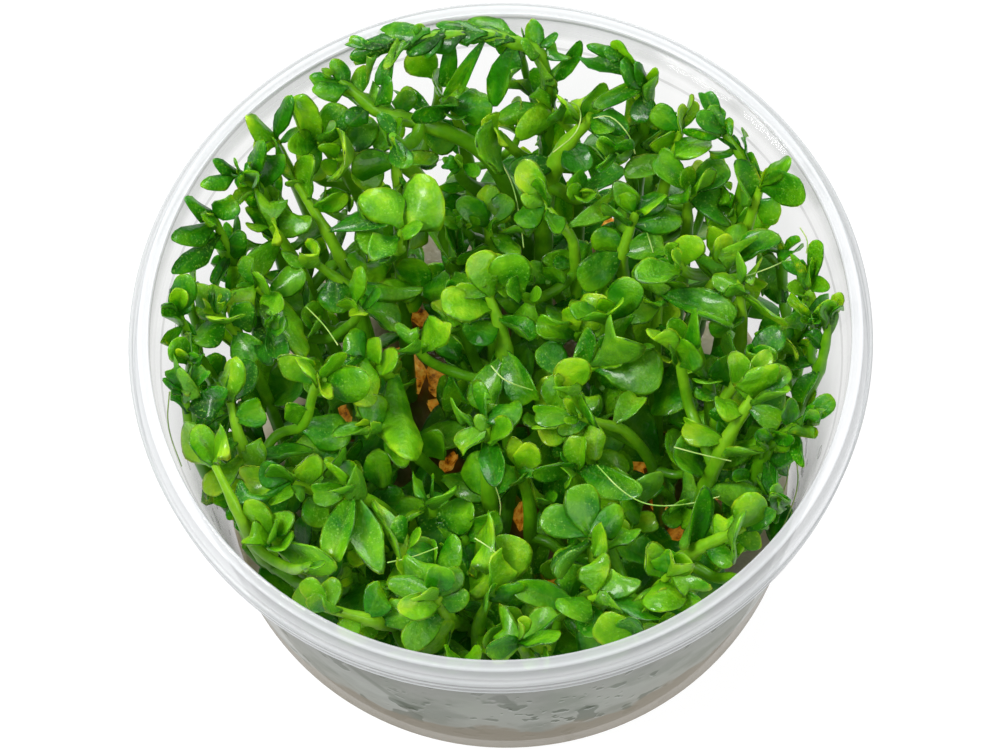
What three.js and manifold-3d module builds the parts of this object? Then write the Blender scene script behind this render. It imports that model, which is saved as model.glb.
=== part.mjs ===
// Moneywort in a clear plastic cup: leafy shoots rooted in a layer of nutrient gel, with dead-leaf
// flakes lying on the gel. Millimetres, +Z up, origin in the middle of the cup's flat base.
import * as THREE from 'three';
import { mergeVertices } from 'three/addons/utils/BufferGeometryUtils.js';
import Module from 'manifold-3d';

const wasm = await Module();
wasm.setup();

// Cup: an open round cup with a stepped rim
const CUP_HEIGHT = 60;
const RIM_RADIUS = 50;
const BASE_RADIUS = 43;
const BASE_FILLET = 4;
const WALL = 1;
const WALL_TOP_RADIUS = 47;
const SHOULDER_HEIGHT = 52;
const MOUTH_RADIUS = 47;
const CUP_SIDES = 40;

// Gel: a low disc with one socket for each stem
const GEL_TOP = 8.7;
const GAP = 0.3;
const SOCKET_SIDES = 4;

// Stems: each keeps clear of the wall and of the others
const ROOT_DEPTH = 5;
const STEM_SIDES = 4;
const RING_STEP = 8.5;
const CHAIN_STEP = 2;
const CORNER_CUTS = 3;
const STEM_CLEARANCE = 0.8;
const SETTLE_ROUNDS = 60;

// Leaves: flat lenses with a base, a tip, two sides, a top and an underside
const LEAF_THICKNESS = 1;
const WIDEST_AT = 0.58;
const BASE_INSET = 1;
const PLANT_TOP = 63;
const LEAF_LIFTS = [0, 2, -2, 4, -4, 6, -6, 8];
const LEAF_TRIMS = [1, 0.85, 0.7];

// Shoot points are noted as they look from EYE on a level plane at SIGHT_HEIGHT, with their own height
const EYE = new THREE.Vector3(-0.34, -157.2, 417.5);
const SIGHT_HEIGHT = 50;

const rgb = (r, g, b) => new THREE.Color().setRGB(r, g, b);
const FINISHES = {
  plastic: { color: rgb(0.86, 0.88, 0.89), roughness: 0.2, metalness: 0, transparent: true, opacity: 0.35 },
  gel: { color: rgb(0.72, 0.68, 0.55), roughness: 0.3, metalness: 0, transparent: true, opacity: 0.8 },
  shoot: { color: rgb(0.1, 0.32, 0.02), roughness: 0.35, metalness: 0 },
  flake: { color: rgb(0.5, 0.2, 0.04), roughness: 0.6, metalness: 0 },
};

// One row a shoot: name, thickness of the stem, root on the gel (x, y), points up the stem
// (x, y, height), and leaves (distance down from the stem's end, tip x, y, height, width)
const SHOOTS = [
  ['back_1', 1.7, [5, 24],
    [[8, 31, 38], [9, 38, 48], [9.9, 45, 56], [6, 48.3, 59], [1, 50, 60], [-5, 49.6, 60], [-12, 50.2, 60],
      [-17, 49.4, 59]],
    [[0, -21.5, 49, 59, 2.4], [5, -14.5, 52, 60.5, 2.2], [7, -9, 52, 60.5, 2.2], [11, -5.5, 41, 52, 2.8],
      [16, -4.6, 40.3, 52, 2.8], [20, 2.2, 38.6, 50, 5.6], [25, 12, 46.2, 58, 3.2], [23, 11, 49.5, 60, 2]]],
  ['back_2', 1.8, [-2, 24],
    [[-3, 30, 36], [-4, 36, 46], [-5, 39, 50]],
    [[0, -10, 38.5, 50, 4], [0, 0.5, 37.5, 50, 4.5], [2, -4, 41.5, 50, 4], [4, -8, 32, 44, 4.5],
      [6, 1, 33, 44, 4.5]]],
  ['back_3', 1.8, [12, 26],
    [[13, 31, 40], [11, 36, 47], [8, 38, 50]],
    [[0, 2, 36, 51, 3], [1, 7.5, 39.8, 51, 2.8], [4, 14.5, 37.5, 50, 3.4], [3, 5, 33.5, 48, 4]]],
  ['back_left_1', 2.2, [8, 18],
    [[2, 30, 42], [-5, 34, 47], [-12, 37.6, 51], [-19, 38.5, 53.5], [-21.5, 42, 56], [-21.5, 45, 57]],
    [[0, -24.8, 44.5, 57, 3], [1, -21, 47.5, 57, 3], [3, -17, 46.5, 57, 3], [5, -20, 36, 54, 3.5],
      [10, -11, 42, 54, 3.6]]],
  ['back_left_2', 1.8, [-14, 22],
    [[-19, 28, 38], [-22, 31, 46], [-24, 34, 51]],
    [[0, -27.5, 41, 54, 6.2], [0.5, -27, 29.5, 50, 5.4], [1, -20.5, 39, 53, 3.5], [5, -16, 35.5, 50, 4]]],
  ['back_left_3', 2, [-4, 16],
    [[-9, 30, 40], [-15, 31.2, 45], [-22, 31.3, 49]],
    [[6, -13, 38, 48, 4], [3, -18, 38, 50, 4.5], [7, -18, 26.5, 45, 4]]],
  ['back_left_4', 1.7, [-22, 18],
    [[-27, 28, 42], [-30, 33, 50], [-31, 36, 54]],
    [[0, -28.5, 42.8, 57, 3], [2, -35, 34.5, 52, 3], [0, -33, 38.5, 55, 3]]],
  ['back_left_5', 1.8, [-14, 11],
    [[-13.2, 10, 28], [-13, 20, 38], [-12.8, 29, 46], [-13.5, 33, 49]],
    [[4, -6.5, 15.5, 42, 2.8], [2, -19, 29, 47, 4], [2, -8, 29, 47, 3.5]]],
  ['left_1', 1.6, [-28, 13],
    [[-31.5, 23, 44], [-32, 28, 50], [-35, 31.5, 54], [-38, 31.5, 55]],
    [[0, -41.5, 28.5, 54, 3], [1, -40, 34, 56, 3], [3, -33, 35, 55, 3.5], [5, -35.5, 25, 51, 4],
      [6, -29.5, 32, 52, 4]]],
  ['left_2', 1.6, [-33, 7],
    [[-36, 16, 44], [-39, 21, 50], [-41, 25, 54]],
    [[0, -42.5, 27.5, 56, 4], [0, -36, 25.5, 54, 5.5], [2, -44.5, 21, 53, 3.5], [4, -45, 15.5, 50, 3],
      [6, -34.5, 17.5, 48, 5.5], [8, -39, 12.5, 46, 3]]],
  ['left_3', 1.8, [-22, 8],
    [[-27, 15, 40], [-30, 19, 46], [-31.5, 22, 49]],
    [[0, -31, 27, 50, 5.5], [3, -34.5, 14.5, 46, 4], [3, -26, 22.5, 48, 5]]],
  ['left_4', 1.6, [-17, 7],
    [[-20, 13, 36], [-22.5, 17, 41], [-24, 22, 46], [-26, 26, 49], [-28, 28.8, 50.5]],
    [[9, -29, 18.5, 46, 5.5], [15, -21, 13.8, 42, 6], [9, -14.6, 21.8, 46, 2.8], [5, -20.5, 25.5, 48, 3.4],
      [0, -30.5, 31, 51, 2.6]]],
  ['left_5', 1.8, [-24, -1],
    [[-26, 5, 34], [-31, 10.5, 42], [-34, 12.5, 46]],
    [[4, -25.4, 1.8, 44, 4.2], [0, -37, 8, 46, 3.6], [0, -34, 16, 47, 3.5], [3, -27, 14, 45, 3.5]]],
  ['left_6', 1.8, [-19, 1],
    [[-19, 10, 36], [-21, 14, 41], [-25, 15, 43]],
    [[6, -10.6, 10.6, 38, 2.8], [8, -14.5, 4, 36, 4], [3, -22, 7.5, 39, 4.5]]],
  ['left_7', 1.6, [-31, -3],
    [[-35, 4, 42], [-38, 8, 47], [-40, 9.5, 50]],
    [[0, -42, 12.5, 51, 3], [1, -38.5, 12, 50, 3], [4, -33.5, 9, 47, 4], [3, -41.5, 4.5, 48, 3.5],
      [6, -34, 1, 44, 4.5]]],
  ['left_8', 1.6, [-36, 0],
    [[-42, 3, 46], [-45, 7, 51], [-46, 10, 54]],
    [[0, -46.2, 12.5, 55, 2.6], [1, -43, 11.5, 54, 3], [3, -47.5, 3.5, 50, 3], [4, -42.5, 1.5, 49, 3.5]]],
  ['left_9', 1.6, [-36, -13],
    [[-45.5, -11, 46], [-45, -5, 50], [-43.5, -2, 53]],
    [[0, -40.5, 0, 54, 3.5], [3, -38, -4, 51, 4.5], [0, -46, 1.5, 54, 3], [7, -43.5, -12.5, 46, 3],
      [4, -47.3, -6, 50, 3]]],
  ['left_10', 1.8, [-30, -12],
    [[-35, -14, 42], [-37, -9, 47], [-37.5, -4, 50]],
    [[0, -34.5, 0.5, 50, 4], [3, -33, -6, 49, 5], [7, -32.5, -14.5, 44, 5], [6, -41.5, -13, 46, 5]]],
  ['middle_1', 1.6, [-13, -5],
    [[-14, -4, 34], [-16.5, -0.5, 40], [-19.5, 0.5, 44]],
    [[0, -20.5, 4.5, 46, 3.4], [0, -24.4, 0.3, 45, 2.8], [1, -15.8, 2.5, 45, 3], [0, -24, -4, 44, 4.2],
      [0, -19, -6.4, 44, 4.2], [8, -12.3, -14.5, 40, 6.4]]],
  ['middle_2', 1.6, [-7, -8],
    [[-12, -14, 34], [-16, -11.5, 38], [-19, -9.5, 42]],
    [[0, -22.5, -11.5, 43, 3], [0, -17, -5.5, 43, 4], [3, -14, -16.5, 38, 4]]],
  ['middle_3', 2, [0, -18.5],
    [[-1, -29, 22], [-3, -24, 32], [-3, -17, 38], [-2.5, -9, 43]],
    [[3, -1.6, -19.5, 43, 3.4], [1, -6, -14, 42, 4], [0, -4, -4.5, 44, 3], [0, 2, -8, 44, 4]]],
  ['middle_4', 1.8, [4.5, -19],
    [[1.8, -29, 24], [3, -24, 32], [2.5, -20, 36], [1, -16.5, 40]],
    [[0, 3.8, -17.5, 41, 3], [0, 1.5, -12.5, 42, 2.8]]],
  ['middle_5', 2, [1, -7],
    [[0, -8, 30], [1, -1, 37], [0, 5, 42], [-1.5, 9.5, 46]],
    [[0, 0.8, 13.5, 47, 3], [0, -5, 10.5, 46, 3], [4, 4, 2, 44, 3.8], [5, -4.5, 3, 43, 4],
      [9, 3.5, -7, 38, 4.5], [10, -3, -8, 36, 4.5]]],
  ['middle_6', 1.6, [10, -5],
    [[6, -5.5, 34], [10, -4, 38], [15, -2, 42]],
    [[0, 20.5, -0.5, 44, 3], [7, 5.5, 0, 39, 3.5], [3, 12, 2, 42, 4]]],
  ['middle_7', 1.7, [14, -12],
    [[12.5, -18, 30], [9.5, -12.5, 37], [7.5, -8.5, 41]],
    [[0, 7, -4, 43, 4.5], [0, 3, -7, 42, 3], [2, 12, -7.5, 41, 3.6], [3, 5, -13, 39, 3.6]]],
  ['middle_8', 1.5, [22, -12],
    [[19.5, -16, 34], [17, -12.5, 39], [12.5, -11.5, 43], [9, -10, 45]],
    [[3, 11.5, -16.5, 41, 3], [0, 4.5, -9.5, 46, 3], [6, 18, -8, 42, 3.4]]],
  ['middle_9', 1.6, [8, -16],
    [[8, -24, 28], [9, -20, 36], [9.5, -17, 40]],
    [[0, 18.2, -21.8, 43, 4.8], [0, 3.5, -17.5, 41, 3.5], [1, 11, -13, 42, 3]]],
  ['middle_10', 1.6, [14.5, 0],
    [[11.8, 8, 34], [9.3, 12, 39], [10.3, 15, 42], [12.3, 18, 45], [9, 21, 47], [6.5, 23, 48]],
    [[0, 3.5, 19.5, 48, 3.4], [1, 8.5, 16.5, 47, 3.4], [5, 18.5, 22.5, 48, 3], [17, 6.5, 1.5, 34, 4.5],
      [16, 16.5, 8, 38, 4.5]]],
  ['middle_11', 1.8, [18, 5],
    [[18, 8, 34], [17, 12, 40], [18, 17, 45], [20, 20, 47]],
    [[0, 24.5, 23, 48, 3], [0, 18, 25, 48, 3], [1, 26, 18.5, 47, 3], [5, 13.5, 16.5, 45, 4.6],
      [6, 12, 9.5, 42, 4.5], [6, 23, 14.5, 44, 4]]],
  ['middle_12', 1.8, [-2, 5],
    [[0, 11, 32], [-0.5, 16, 38], [-1, 20, 43]],
    [[0, -4.5, 23.5, 45, 3.4], [0, 2.5, 23, 44, 2.8], [2, 4, 15.5, 42, 3], [4, -5, 14, 40, 3],
      [6, 5, 10, 38, 3]]],
  ['back_right_1', 2, [18, 19],
    [[22, 33, 46], [23.8, 39, 52], [23, 43, 56], [21, 47, 58], [19.5, 49.5, 59.5]],
    [[0, 19.5, 52, 60.5, 2.4], [2, 14.8, 48, 59, 2.6], [3, 17, 44.5, 58, 3], [6, 16.5, 41.5, 56, 4],
      [8, 15, 37.5, 53, 3.6], [9, 21, 34, 51, 3.4]]],
  ['back_right_2', 2.6, [6, 10],
    [[7, 20, 34], [7.5, 25, 40], [9.5, 30, 45], [14, 34, 50], [15.5, 36, 52]],
    [[10, 3, 27.5, 44, 3.6], [0, 20, 33.5, 53, 3], [2, 16, 41, 53, 3.5], [6, 13.5, 27, 46, 4]]],
  ['back_right_3', 1.7, [20, 13],
    [[24, 24, 42], [26, 29, 49], [27.5, 33, 53]],
    [[0, 24, 36, 54, 3], [0, 29, 37, 54, 2.8], [2, 23, 31.5, 52, 3.4], [6, 20, 25, 47, 4.5]]],
  ['back_right_4', 1.8, [28.5, 15],
    [[35, 21, 46], [36.8, 26, 51], [35.5, 30, 54], [32.5, 33, 56]],
    [[0, 31, 38, 57, 2.8], [0, 34.6, 33, 57, 2.6], [1, 28, 33, 56, 3.4], [4, 31, 28.5, 54, 3]]],
  ['back_right_5', 1.8, [24.5, 8.5],
    [[27, 16, 40], [27, 21, 46], [27.5, 23.5, 48]],
    [[0, 33.5, 26, 50, 5.2], [1, 33, 19.5, 48, 4.5], [0, 24, 28, 49, 3.5], [5, 21, 20, 45, 3.5]]],
  ['right_1', 1.8, [31, 8],
    [[34, 14, 44], [36.5, 19, 49], [38, 23.5, 53]],
    [[0, 43, 21.5, 54, 4.5], [0, 41, 27.5, 55, 3], [2, 39.5, 17, 50, 3.6], [3, 34, 25.5, 51, 4.5]]],
  ['right_2', 1.6, [25, 2],
    [[27, 5, 40], [30, 9, 45], [33, 12, 49]],
    [[0, 39.5, 14, 51, 4], [1, 34, 18, 50, 3.5], [4, 27, 15, 48, 4.8], [3, 36, 7, 48, 3.4]]],
  ['right_3', 1.6, [36, 1],
    [[41.5, 1, 46], [42.5, 5, 50], [43, 8, 53], [43.5, 10, 55]],
    [[0, 43.5, 13, 56, 2.4], [1, 40, 11, 55, 2.6], [2, 46, 6.5, 54, 2.8], [3, 39.8, 6.5, 53, 3.4],
      [6, 39, 0.5, 48, 3.6]]],
  ['right_4', 1.6, [31, -4],
    [[33, 0, 42], [34, 5, 47], [33.5, 8.5, 50]],
    [[1, 38.8, 1.5, 48, 3], [0, 36, 11.5, 51, 3], [0, 30, 9.5, 50, 3], [5, 30, 0, 46, 4.5]]],
  ['right_5', 1.8, [22, -6],
    [[21, 0, 36], [21.5, 5, 41], [22.5, 8, 44]],
    [[0, 32, 2.6, 46, 5.8], [0, 19.5, 11.5, 45, 3], [2, 17, 4, 42, 4], [5, 26, -2.5, 41, 3.6]]],
  ['right_6', 1.6, [36.5, -7],
    [[42, -8, 44], [44, -4, 49], [45.5, 0, 53], [46.3, 3, 55.5]],
    [[0, 47, 6.5, 57, 2.8], [3, 47.8, -2, 53, 2.6], [5, 42, 0, 52, 3.6], [6, 46, -7.5, 50, 3],
      [9, 40, -10, 47, 4]]],
  ['right_7', 2, [28, -11],
    [[27.5, -15, 36], [29.5, -9, 42], [34, -3, 47]],
    [[0, 38, 0.5, 50, 3.5], [0, 33, 2, 50, 4], [4, 30, -3.5, 48, 4], [3, 37.5, -6, 47, 4]]],
  ['right_8', 2, [25, -18],
    [[26, -22, 36], [28.5, -16.5, 42], [33, -10, 48], [35, -7, 50]],
    [[0, 39, -5.5, 51, 3.5], [4, 29, -9, 49, 4], [3, 37, -12.5, 48, 3], [9, 24.5, -12.5, 45, 3.6]]],
  ['right_9', 1.8, [32, -16],
    [[33, -21, 38], [34.5, -16, 44], [38, -13.5, 48], [41, -12.5, 51]],
    [[0, 44.5, -9.5, 53, 3], [2, 40.3, -20, 49, 3.2], [3, 38, -9, 50, 3.5], [10, 36.6, -24.5, 42, 3.4]]],
  ['front_left_1', 1.7, [-19, -17],
    [[-22, -21, 38], [-26, -18, 44], [-30, -17, 47]],
    [[0, -33, -14.5, 48, 3.6], [0, -34.5, -22.5, 46, 4], [3, -26.5, -13, 47, 3.5], [5, -20, -17, 45, 4],
      [5, -26, -23.5, 43, 3.5]]],
  ['front_left_2', 1.7, [-25, -22],
    [[-29, -29, 38], [-31, -27, 44], [-32.5, -24.5, 47]],
    [[3, -23.6, -29.4, 47, 4.2], [0, -35.3, -20, 49, 3], [0, -29, -21.5, 48, 3.4]]],
  ['front_left_3', 1.7, [-12, -19],
    [[-16, -22, 36], [-20, -20, 44], [-22, -18.5, 46]],
    [[2, -17.8, -31.5, 44, 4], [1, -23.8, -27.5, 46, 3.8], [5, -15, -28.5, 43, 3], [0, -26, -19, 47, 3.4]]],
  ['front_left_4', 1.7, [-30, -19.5],
    [[-35, -27, 44], [-36, -22, 48], [-38, -17, 51], [-40, -13, 53]],
    [[0, -42, -8.5, 55, 3.5], [0, -37.5, -9.5, 54, 4], [6, -33.5, -17.5, 50, 3.6]]],
  ['front_left_5', 1.7, [-16, -27],
    [[-17, -38, 44], [-21, -37, 47], [-26, -35, 49]],
    [[0, -29.5, -33, 50, 3.4], [1, -25, -31, 50, 3], [5, -23, -39.5, 47, 3.4], [6, -18, -33, 48, 3.6],
      [9, -13, -36.5, 47, 4]]],
  ['front_1', 1.7, [-7, -27],
    [[-9, -38, 42], [-10.5, -36.5, 48], [-10.5, -34, 51]],
    [[0, -16.5, -32, 51, 3], [0, -13, -30.3, 51, 3], [0, -7.5, -31, 51, 3.5], [1, -6.3, -36, 50, 3],
      [2, -15.5, -36, 50, 3.5], [6, -14.5, -41, 46, 3.4]]],
  ['front_2', 1.8, [-5, -33.5],
    [[-5.2, -44, 26], [-5.8, -40, 34], [-4.5, -36.5, 41], [-3, -34.5, 45]],
    [[0, -1.2, -29, 48, 5.6], [1, 1.5, -35, 46, 3]]],
  ['front_3', 1.7, [2, -33.5],
    [[1, -44, 36], [1, -43, 43], [0, -41.5, 48]],
    [[0, -4.2, -42, 50, 3.4], [0, 5, -41, 50, 3.6], [2, 5, -38, 46, 3.6], [3, -3, -37.5, 46, 3.4]]],
  ['front_4', 1.7, [7.5, -28.5],
    [[5, -38, 40], [7, -36.5, 44], [11, -36, 47]],
    [[0, 18, -38.8, 49, 3.2], [1, 15.5, -34, 48, 3.6], [4, 0, -34, 44, 3.4], [3, 10, -41, 47, 3.4]]],
  ['front_5', 1.5, [12.5, -25],
    [[10.6, -35, 38], [11, -31, 43], [10, -26.5, 47]],
    [[0, 4.4, -24.5, 48, 3.6], [0, 9.8, -20.5, 49, 4.4], [1, 6, -32.6, 46, 4.2], [0, 15.5, -24.5, 48, 3.6]]],
  ['front_right_1', 1.7, [16.5, -29],
    [[17, -37, 42], [19, -35, 46], [21, -33, 49]],
    [[0, 24.5, -36, 50, 2.8], [0, 20, -30.5, 50, 3.4], [3, 14.5, -40.5, 47, 3], [4, 23.5, -38, 47, 2.6]]],
  ['front_right_2', 1.8, [19.5, -23],
    [[20, -32, 40], [26, -29.5, 45], [31, -27.5, 49]],
    [[0, 35, -25.5, 50, 2.6], [1, 33, -30, 49, 2.6], [4, 29, -24.5, 49, 3], [6, 29, -32, 47, 2.8],
      [9, 25, -22.5, 48, 4]]],
];

// Flakes: dead leaves lying on the gel, as centre (x, y), length, width and turn in degrees
const FLAKE_THICKNESS = 0.8;
const FLAKES = [
  ['dead_leaf_1', [-14, 15], 9, 5, 20],
  ['dead_leaf_2', [18, -3], 7, 4, 45],
];

// The cup's inside radius at a height, which every plant piece stays within
function wallRadius(z) {
  const slope = (WALL_TOP_RADIUS - BASE_RADIUS) / (SHOULDER_HEIGHT - BASE_FILLET);
  return BASE_RADIUS - WALL + slope * (z - BASE_FILLET);
}

function sighted([x, y, z]) {
  const seen = new THREE.Vector3(x, y, SIGHT_HEIGHT);
  return EYE.clone().lerp(seen, (EYE.z - z) / (EYE.z - SIGHT_HEIGHT));
}

function smoothed(points) {
  let line = points;
  for (let cut = 0; cut < CORNER_CUTS; cut += 1) {
    const next = [line[0]];
    for (let i = 0; i + 1 < line.length; i += 1) {
      next.push(line[i].clone().lerp(line[i + 1], 0.25));
      next.push(line[i].clone().lerp(line[i + 1], 0.75));
    }
    next.push(line[line.length - 1]);
    line = next;
  }
  return line;
}

function lengthsAlong(line) {
  const lengths = [0];
  for (let i = 1; i < line.length; i += 1) {
    lengths.push(lengths[i - 1] + line[i].distanceTo(line[i - 1]));
  }
  return lengths;
}

function pointAt(line, lengths, distance) {
  let i = 1;
  while (i + 1 < line.length && lengths[i] < distance) {
    i += 1;
  }
  const share = (distance - lengths[i - 1]) / (lengths[i] - lengths[i - 1]);
  return line[i - 1].clone().lerp(line[i], THREE.MathUtils.clamp(share, 0, 1));
}

function evenly(line, step) {
  const lengths = lengthsAlong(line);
  const total = lengths[lengths.length - 1];
  const spans = Math.max(2, Math.round(total / step));
  return Array.from({ length: spans + 1 }, (_, i) => pointAt(line, lengths, (total * i) / spans));
}

// A stem's line of close points, upright where it stands in the gel
function stemLine([rootX, rootY], way) {
  const foot = new THREE.Vector3(rootX, rootY, GEL_TOP - ROOT_DEPTH);
  const collar = new THREE.Vector3(rootX, rootY, GEL_TOP + 4);
  return evenly(smoothed([foot, collar, ...way.map(sighted)]), CHAIN_STEP);
}

// Stems that cross are eased apart, and all are kept off the wall and the gel
function settle(stems) {
  const beads = stems.flatMap(({ line, radius }, owner) => line.map((at) => ({ at, owner, radius })));
  for (let round = 0; round < SETTLE_ROUNDS; round += 1) {
    const pushes = beads.map(() => new THREE.Vector3());
    for (let i = 0; i < beads.length; i += 1) {
      for (let j = i + 1; j < beads.length; j += 1) {
        const away = beads[i].at.clone().sub(beads[j].at);
        const lack = beads[i].radius + beads[j].radius + STEM_CLEARANCE - away.length();
        if (lack > 0 && beads[i].owner !== beads[j].owner) {
          away.setLength(lack / 4);
          pushes[i].add(away);
          pushes[j].sub(away);
        }
      }
    }
    beads.forEach((bead, i) => ease(bead, i, beads, pushes));
  }
}

function ease(bead, i, beads, pushes) {
  if (bead.at.z < GEL_TOP + 1) {
    return;
  }
  const push = pushes[i].clone();
  for (const j of [i - 1, i + 1]) {
    if (beads[j] && beads[j].owner === bead.owner) {
      push.addScaledVector(pushes[j], 0.5);
    }
  }
  bead.at.add(push);
  const reach = Math.hypot(bead.at.x, bead.at.y);
  const limit = wallRadius(bead.at.z) - bead.radius - 2 * GAP;
  if (reach > limit) {
    bead.at.x *= limit / reach;
    bead.at.y *= limit / reach;
  }
}

class StemPath extends THREE.Curve {
  constructor(line) {
    super();
    this.line = line;
    this.lengths = lengthsAlong(line);
  }

  getPoint(share, target = new THREE.Vector3()) {
    return target.copy(pointAt(this.line, this.lengths, share * this.lengths[this.lengths.length - 1]));
  }
}

function section(radius, sides) {
  const shape = new THREE.Shape();
  for (let i = 0; i < sides; i += 1) {
    const turn = (2 * Math.PI * i) / sides;
    const corner = [radius * Math.cos(turn), radius * Math.sin(turn)];
    if (i === 0) {
      shape.moveTo(...corner);
    } else {
      shape.lineTo(...corner);
    }
  }
  shape.closePath();
  return shape;
}

function tube(path, radius, sides, steps) {
  return new THREE.ExtrudeGeometry(section(radius, sides), { steps, extrudePath: path, curveSegments: 1 });
}

// A leaf's six corners, with the directions that part it from its neighbours
function lens(base, tip, width) {
  const along = tip.clone().sub(base);
  const length = along.length();
  along.normalize();
  const face = EYE.clone().sub(base).normalize();
  face.addScaledVector(along, -face.dot(along)).normalize();
  const side = along.clone().cross(face);
  const middle = base.clone().addScaledVector(along, length * WIDEST_AT);
  const offset = (direction, by) => middle.clone().addScaledVector(direction, by);
  const corners = [base, offset(side, -width / 2), offset(face, LEAF_THICKNESS / 2), offset(side, width / 2),
    offset(face, -LEAF_THICKNESS / 2), tip];
  const axes = [along, face, side];
  const [a, left, top, right, under, b] = corners;
  for (const [p, q, r] of [[a, left, top], [a, top, right], [b, left, top], [b, top, right], [a, left, under],
    [b, left, under]]) {
    axes.push(q.clone().sub(p).cross(r.clone().sub(p)).normalize());
  }
  return { corners, axes, swell: 0, middle, reach: length };
}

const LENS_FACES = [0, 2, 1, 0, 3, 2, 0, 4, 3, 0, 1, 4, 5, 1, 2, 5, 2, 3, 5, 3, 4, 5, 4, 1];

// Short straight rods stand for a stem when leaves are tested against it
function rods(stem) {
  const list = [];
  for (let i = 0; i + 1 < stem.spine.length; i += 1) {
    const corners = [stem.spine[i], stem.spine[i + 1]];
    const along = corners[1].clone().sub(corners[0]).normalize();
    const middle = corners[0].clone().lerp(corners[1], 0.5);
    const reach = RING_STEP / 2 + stem.radius;
    list.push({ corners, axes: [along], swell: stem.radius + 0.1, middle, reach });
  }
  return list;
}

function spanAlong(axis, piece) {
  const at = piece.corners.map((corner) => corner.dot(axis));
  return [Math.min(...at) - piece.swell, Math.max(...at) + piece.swell];
}

// Two convex pieces are apart where some direction shows the gap between them
function apart(a, b) {
  if (a.middle.distanceTo(b.middle) > a.reach + b.reach + GAP) {
    return true;
  }
  const axes = [...a.axes, ...b.axes, a.middle.clone().sub(b.middle).normalize()];
  for (const u of a.axes.slice(0, 3)) {
    for (const v of b.axes.slice(0, 3)) {
      const across = u.clone().cross(v);
      if (across.length() > 0.1) {
        axes.push(across.normalize());
      }
    }
  }
  return axes.some((axis) => {
    const [lowA, highA] = spanAlong(axis, a);
    const [lowB, highB] = spanAlong(axis, b);
    return lowB - highA > GAP || lowA - highB > GAP;
  });
}

function insideCup(leaf) {
  return leaf.corners.every((corner) => corner.z > GEL_TOP + GAP && corner.z < PLANT_TOP
    && Math.hypot(corner.x, corner.y) < wallRadius(corner.z) - 2 * GAP);
}

// A leaf is tried at its noted height, then a little above and below along the line of sight
function growLeaf(stem, [down, x, y, z, width], others) {
  const lengths = lengthsAlong(stem.spine);
  const base = pointAt(stem.spine, lengths, lengths[lengths.length - 1] - down - BASE_INSET);
  for (const trim of LEAF_TRIMS) {
    for (const lift of LEAF_LIFTS) {
      const tip = base.clone().lerp(sighted([x, y, z + lift]), trim);
      const leaf = lens(base, tip, width * trim);
      if (insideCup(leaf) && others.every((other) => other.owner === stem.name || apart(leaf, other))) {
        return leaf;
      }
    }
  }
  return null;
}

function solid(geometry) {
  const plain = geometry.clone();
  plain.deleteAttribute('normal');
  plain.deleteAttribute('uv');
  const merged = mergeVertices(plain, 1e-4);
  return new wasm.Manifold(new wasm.Mesh({
    numProp: 3,
    vertProperties: new Float32Array(merged.attributes.position.array),
    triVerts: new Uint32Array(merged.index.array),
  }));
}

function shapeOf(body) {
  const mesh = body.getMesh();
  const geometry = new THREE.BufferGeometry();
  geometry.setAttribute('position', new THREE.BufferAttribute(new Float32Array(mesh.vertProperties), 3));
  geometry.setIndex(new THREE.BufferAttribute(new Uint32Array(mesh.triVerts), 1));
  geometry.computeVertexNormals();
  return geometry;
}

function leafGeometry(leaf) {
  const geometry = new THREE.BufferGeometry();
  const places = new Float32Array(leaf.corners.flatMap((corner) => corner.toArray()));
  geometry.setAttribute('position', new THREE.BufferAttribute(places, 3));
  geometry.setIndex(LENS_FACES);
  return geometry;
}

function shootGeometry(stem) {
  let body = solid(tube(stem.path, stem.radius, STEM_SIDES, stem.spine.length - 1));
  for (const leaf of stem.leaves) {
    body = body.add(solid(leafGeometry(leaf)));
  }
  return shapeOf(body);
}

function lathe(profile) {
  const points = profile.map(([radius, z]) => new THREE.Vector2(radius, z));
  return new THREE.LatheGeometry(points, CUP_SIDES).rotateX(Math.PI / 2);
}

// Points of a quarter round from the flat base up to the wall
function quarterRound(radius, fillet, bottom) {
  return [0, 1, 2].map((i) => {
    const turn = (Math.PI / 4) * i;
    return [radius - fillet + fillet * Math.sin(turn), bottom + fillet * (1 - Math.cos(turn))];
  });
}

function cupGeometry() {
  const outside = [[0, 0], ...quarterRound(BASE_RADIUS, BASE_FILLET, 0), [WALL_TOP_RADIUS, SHOULDER_HEIGHT],
    [MOUTH_RADIUS + 1.2, 53.5], [RIM_RADIUS - 0.4, 54.2], [RIM_RADIUS, 58.2], [RIM_RADIUS - 0.6, 58.6],
    [MOUTH_RADIUS + 1.8, 59.2], [MOUTH_RADIUS + 1.6, CUP_HEIGHT], [MOUTH_RADIUS, CUP_HEIGHT]];
  const inside = [[MOUTH_RADIUS - 0.1, SHOULDER_HEIGHT + 1], [WALL_TOP_RADIUS - WALL, SHOULDER_HEIGHT],
    ...quarterRound(BASE_RADIUS - WALL, BASE_FILLET - WALL, WALL).reverse(), [0, WALL]];
  return lathe([...outside, ...inside]);
}

function gelGeometry(stems) {
  const profile = [[0, WALL + GAP],
    ...quarterRound(BASE_RADIUS - WALL - GAP, BASE_FILLET - WALL, WALL + GAP),
    [wallRadius(GEL_TOP) - GAP, GEL_TOP], [0, GEL_TOP]];
  let body = solid(lathe(profile));
  for (const stem of stems) {
    const [foot, above] = stem.spine;
    const low = foot.clone().lerp(above, -GAP / RING_STEP);
    const path = new StemPath([low, above]);
    body = body.subtract(solid(tube(path, (stem.radius + GAP) * Math.SQRT2, SOCKET_SIDES, 1)));
  }
  return shapeOf(body);
}

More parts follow.
